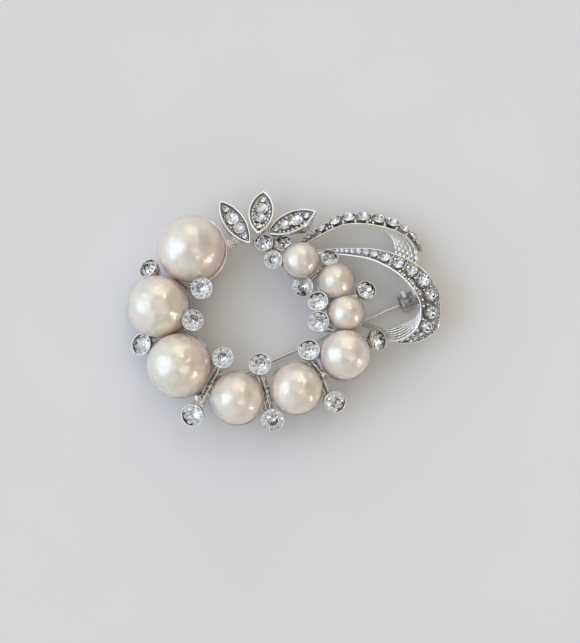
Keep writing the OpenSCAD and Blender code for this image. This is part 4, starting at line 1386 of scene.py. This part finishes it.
class BROOCH_OT_pin(bpy.types.Operator):
    """Hinge bracket, pin stem, and the roll-over catch with its turning lock"""
    bl_idname = "brooch.pin"
    bl_label = "Pin and catch"

    def execute(self, context):
        metal_piece("hinge_and_catch", self.bracket() + self.barrel() + self.post(), crease=42)
        make_piece("pin_wire", self.stem(), [finish("wire")], "pin", ["pin_stem"], crease=42)
        make_piece("catch_roller", self.roller(), [finish("plate")], "lock", ["catch_lock"],
                   crease=42)
        return {"FINISHED"}

    def bracket(self):
        """Two rounded ears, the plate above them and the rivet through them."""
        along, left, up = pin_axes()
        inner, ear, reach, top = 0.65 * MM, 0.6 * MM, 1.6 * MM, 1.65 * MM
        wide = inner + ear
        turn = np.linspace(math.pi, 2 * math.pi, 25)
        outline = np.vstack([
            np.stack([reach * np.cos(turn), reach * np.sin(turn)], axis=-1),
            straight([reach, 0.2 * MM], [reach, top], 6),
            straight([0.8 * reach, top], [-0.8 * reach, top], 6),
            straight([-reach, top], [-reach, 0.2 * MM], 6),
        ])
        parts = [slab(outline, HINGE + side * (inner + ear / 2) * left, along, up, left, ear, shade=0.12)
                 for side in (1, -1)]
        parts.append(self.block(HINGE, (-reach, reach), (-wide, wide), (1.35 * MM, 2.05 * MM)))
        r, half, head = 0.36 * MM, inner + ear / 2, 0.1 * MM
        parts.append(turned([[0, -half], [r, -half], [r, half], [0, half]], HINGE, left, 24, shade=0.2))
        for side in (1, -1):
            cap = [[0, 0], [0.62 * MM, 0], [0.55 * MM, head * 0.6], [0.3 * MM, head], [0, head]]
            parts.append(turned(cap, HINGE + side * (wide - 0.02 * MM) * left, side * left, 24,
                                shade=0.15))
        return parts

    def block(self, origin, x_range, y_range, z_range):
        """Rectangular block with eased edges: a rounded outline given thickness."""
        along, left, up = pin_axes()
        (x0, x1), (y0, y1), (z0, z1) = x_range, y_range, z_range
        ease = 0.1 * MM
        outline = np.vstack([
            straight([x0 + ease, y0], [x1 - ease, y0], 8),
            straight([x1, y0 + ease], [x1, y1 - ease], 8),
            straight([x1 - ease, y1], [x0 + ease, y1], 8),
            straight([x0, y1 - ease], [x0, y0 + ease], 8),
        ])
        return slab(outline, origin + (z0 + z1) / 2 * up, along, left, up, z1 - z0, shade=0.15)

    def barrel(self):
        """Open ring in three lengths along the wire: the middle one leaves a window for the tab."""
        along = pin_axes()[0]
        at = HINGE + CATCH_REACH * along
        length, outer, bore, window = 2.6 * MM, 1.7 * MM, 1.06 * MM, 0.94 * MM
        side = (length - window) / 2
        slot = math.asin(0.575 * MM / outer)
        full = (-math.pi / 2 + slot, 1.5 * math.pi - slot)
        parts = []
        for place, part_length, (start, end) in (
                (-(window + side) / 2, side, full), ((window + side) / 2, side, full),
                (0, window, (math.radians(108), 1.5 * math.pi - slot)),
                (0, window, (-math.pi / 2 + slot, math.radians(-18)))):
            parts.append(self.ring_part(at + place * along, outer, bore, part_length, start, end))
        parts.append(self.block(at, (1.3 * MM, 2.0 * MM), (-outer, outer), (-0.4 * MM, 2.8 * MM)))
        return parts

    def ring_part(self, at, outer, bore, length, start, end):
        """Part of a ring round the wire, from one angle to another.

        A point is at, plus its section's radius along the angle's spoke and its length along the wire.
        """
        along, left, up = pin_axes()
        turn = np.linspace(start, end, 40)
        rays = spokes(turn, left, up)
        ease, half = 0.06 * MM, length / 2
        section = np.array([
            [bore, half - ease], [bore + ease, half], [outer - ease, half], [outer, half - ease],
            [outer, -half + ease], [outer - ease, -half], [bore + ease, -half], [bore, -half + ease]])
        grid = at + section[None, :, :1] * rays[:, None] + section[None, :, 1:] * along
        poles = grid[[0, -1]].mean(axis=1)
        # Painted shade: every point of the catch's rings is half-way to the dark colour, as if in
        # shadow.
        return skin(grid, poles, 0.5)

    def post(self):
        """Short round post from the catch up into the front ribbon."""
        a = np.array([24.75, 2.35, 3.6]) * MM + PLAN
        b = np.array([25.9, 1.9, 5.3]) * MM + PLAN
        return [rod(straight(a, b, 24), 0.75 * MM, 32, 0.05, shade=0.2)]

    def stem(self):
        """Round eye on the rivet, and a wire that tapers to a point in the catch."""
        along, left, _ = pin_axes()
        r, bore, half, ease = 0.85 * MM, 0.42 * MM, 0.55 * MM, 0.07 * MM
        eye = turned([[bore, -half + ease], [bore + ease, -half], [r - ease, -half], [r, -half + ease],
                      [r, half - ease], [r - ease, half], [bore + ease, half], [bore, half - ease]],
                     HINGE, left, 48, ring=True, shade=0.1)
        end = CATCH_REACH + 1.0 * MM
        taper = end - 3.2 * MM
        place = np.append(np.linspace(0.65 * MM, taper, 60), np.linspace(taper + 0.1 * MM, end, 24))
        radius = np.interp(place, [0, taper, end], [0.35 * MM, 0.35 * MM, 0.1 * MM])
        return [eye, rod(HINGE + place[:, None] * along, radius, 24)]

    def roller(self):
        """Slotted ring that turns in the barrel, with its thumb tab."""
        at = HINGE + CATCH_REACH * pin_axes()[0]
        outer, bore, length = 1.0 * MM, 0.56 * MM, 2.4 * MM
        slot = math.asin(0.475 * MM / outer)
        ring = self.ring_part(at, outer, bore, length, -math.pi / 2 + slot, 1.5 * math.pi - slot)
        tab = self.block(at, (-0.35 * MM, 0.35 * MM), (0.8 * MM, 2.3 * MM), (-0.25 * MM, 0.25 * MM))
        return [ring, tab]


GROUPS = [
    ("brooch_pearls", PearlProps), ("brooch_metal", MetalProps), ("brooch_crystals", CrystalProps),
    ("brooch_leaves", LeafProps), ("brooch_ribbons", RibbonProps), ("brooch_stage", StageProps),
]
OPERATORS = [
    BROOCH_OT_stage, BROOCH_OT_pearls, BROOCH_OT_cups, BROOCH_OT_bars, BROOCH_OT_tube_cups,
    BROOCH_OT_crystals, BROOCH_OT_leaves, BROOCH_OT_ribbons, BROOCH_OT_pin,
]


class BROOCH_PT_panel(bpy.types.Panel):
    """Lists the brooch's pieces and their sizes"""
    bl_label = "Wreath brooch"
    bl_idname = "BROOCH_PT_panel"
    bl_space_type = "VIEW_3D"
    bl_region_type = "UI"
    bl_category = "Brooch"

    def draw(self, context):
        for operator in OPERATORS:
            self.layout.operator(operator.bl_idname)
        for name, group in GROUPS:
            box = self.layout.box()
            box.label(text=name.replace("brooch_", "").capitalize())
            for key in group.__annotations__:
                box.prop(getattr(context.scene, name), key)


def register():
    for name, group in GROUPS:
        bpy.utils.register_class(group)
        setattr(bpy.types.Scene, name, PointerProperty(type=group))
    for operator in OPERATORS:
        bpy.utils.register_class(operator)
    bpy.utils.register_class(BROOCH_PT_panel)


def unregister():
    bpy.utils.unregister_class(BROOCH_PT_panel)
    for operator in reversed(OPERATORS):
        bpy.utils.unregister_class(operator)
    for name, group in reversed(GROUPS):
        delattr(bpy.types.Scene, name)
        bpy.utils.unregister_class(group)


def main():
    """Builds the stage and every piece."""
    register()
    for operator in OPERATORS:
        category, name = operator.bl_idname.split(".")
        getattr(getattr(bpy.ops, category), name)()


if __name__ == "__main__":
    main()
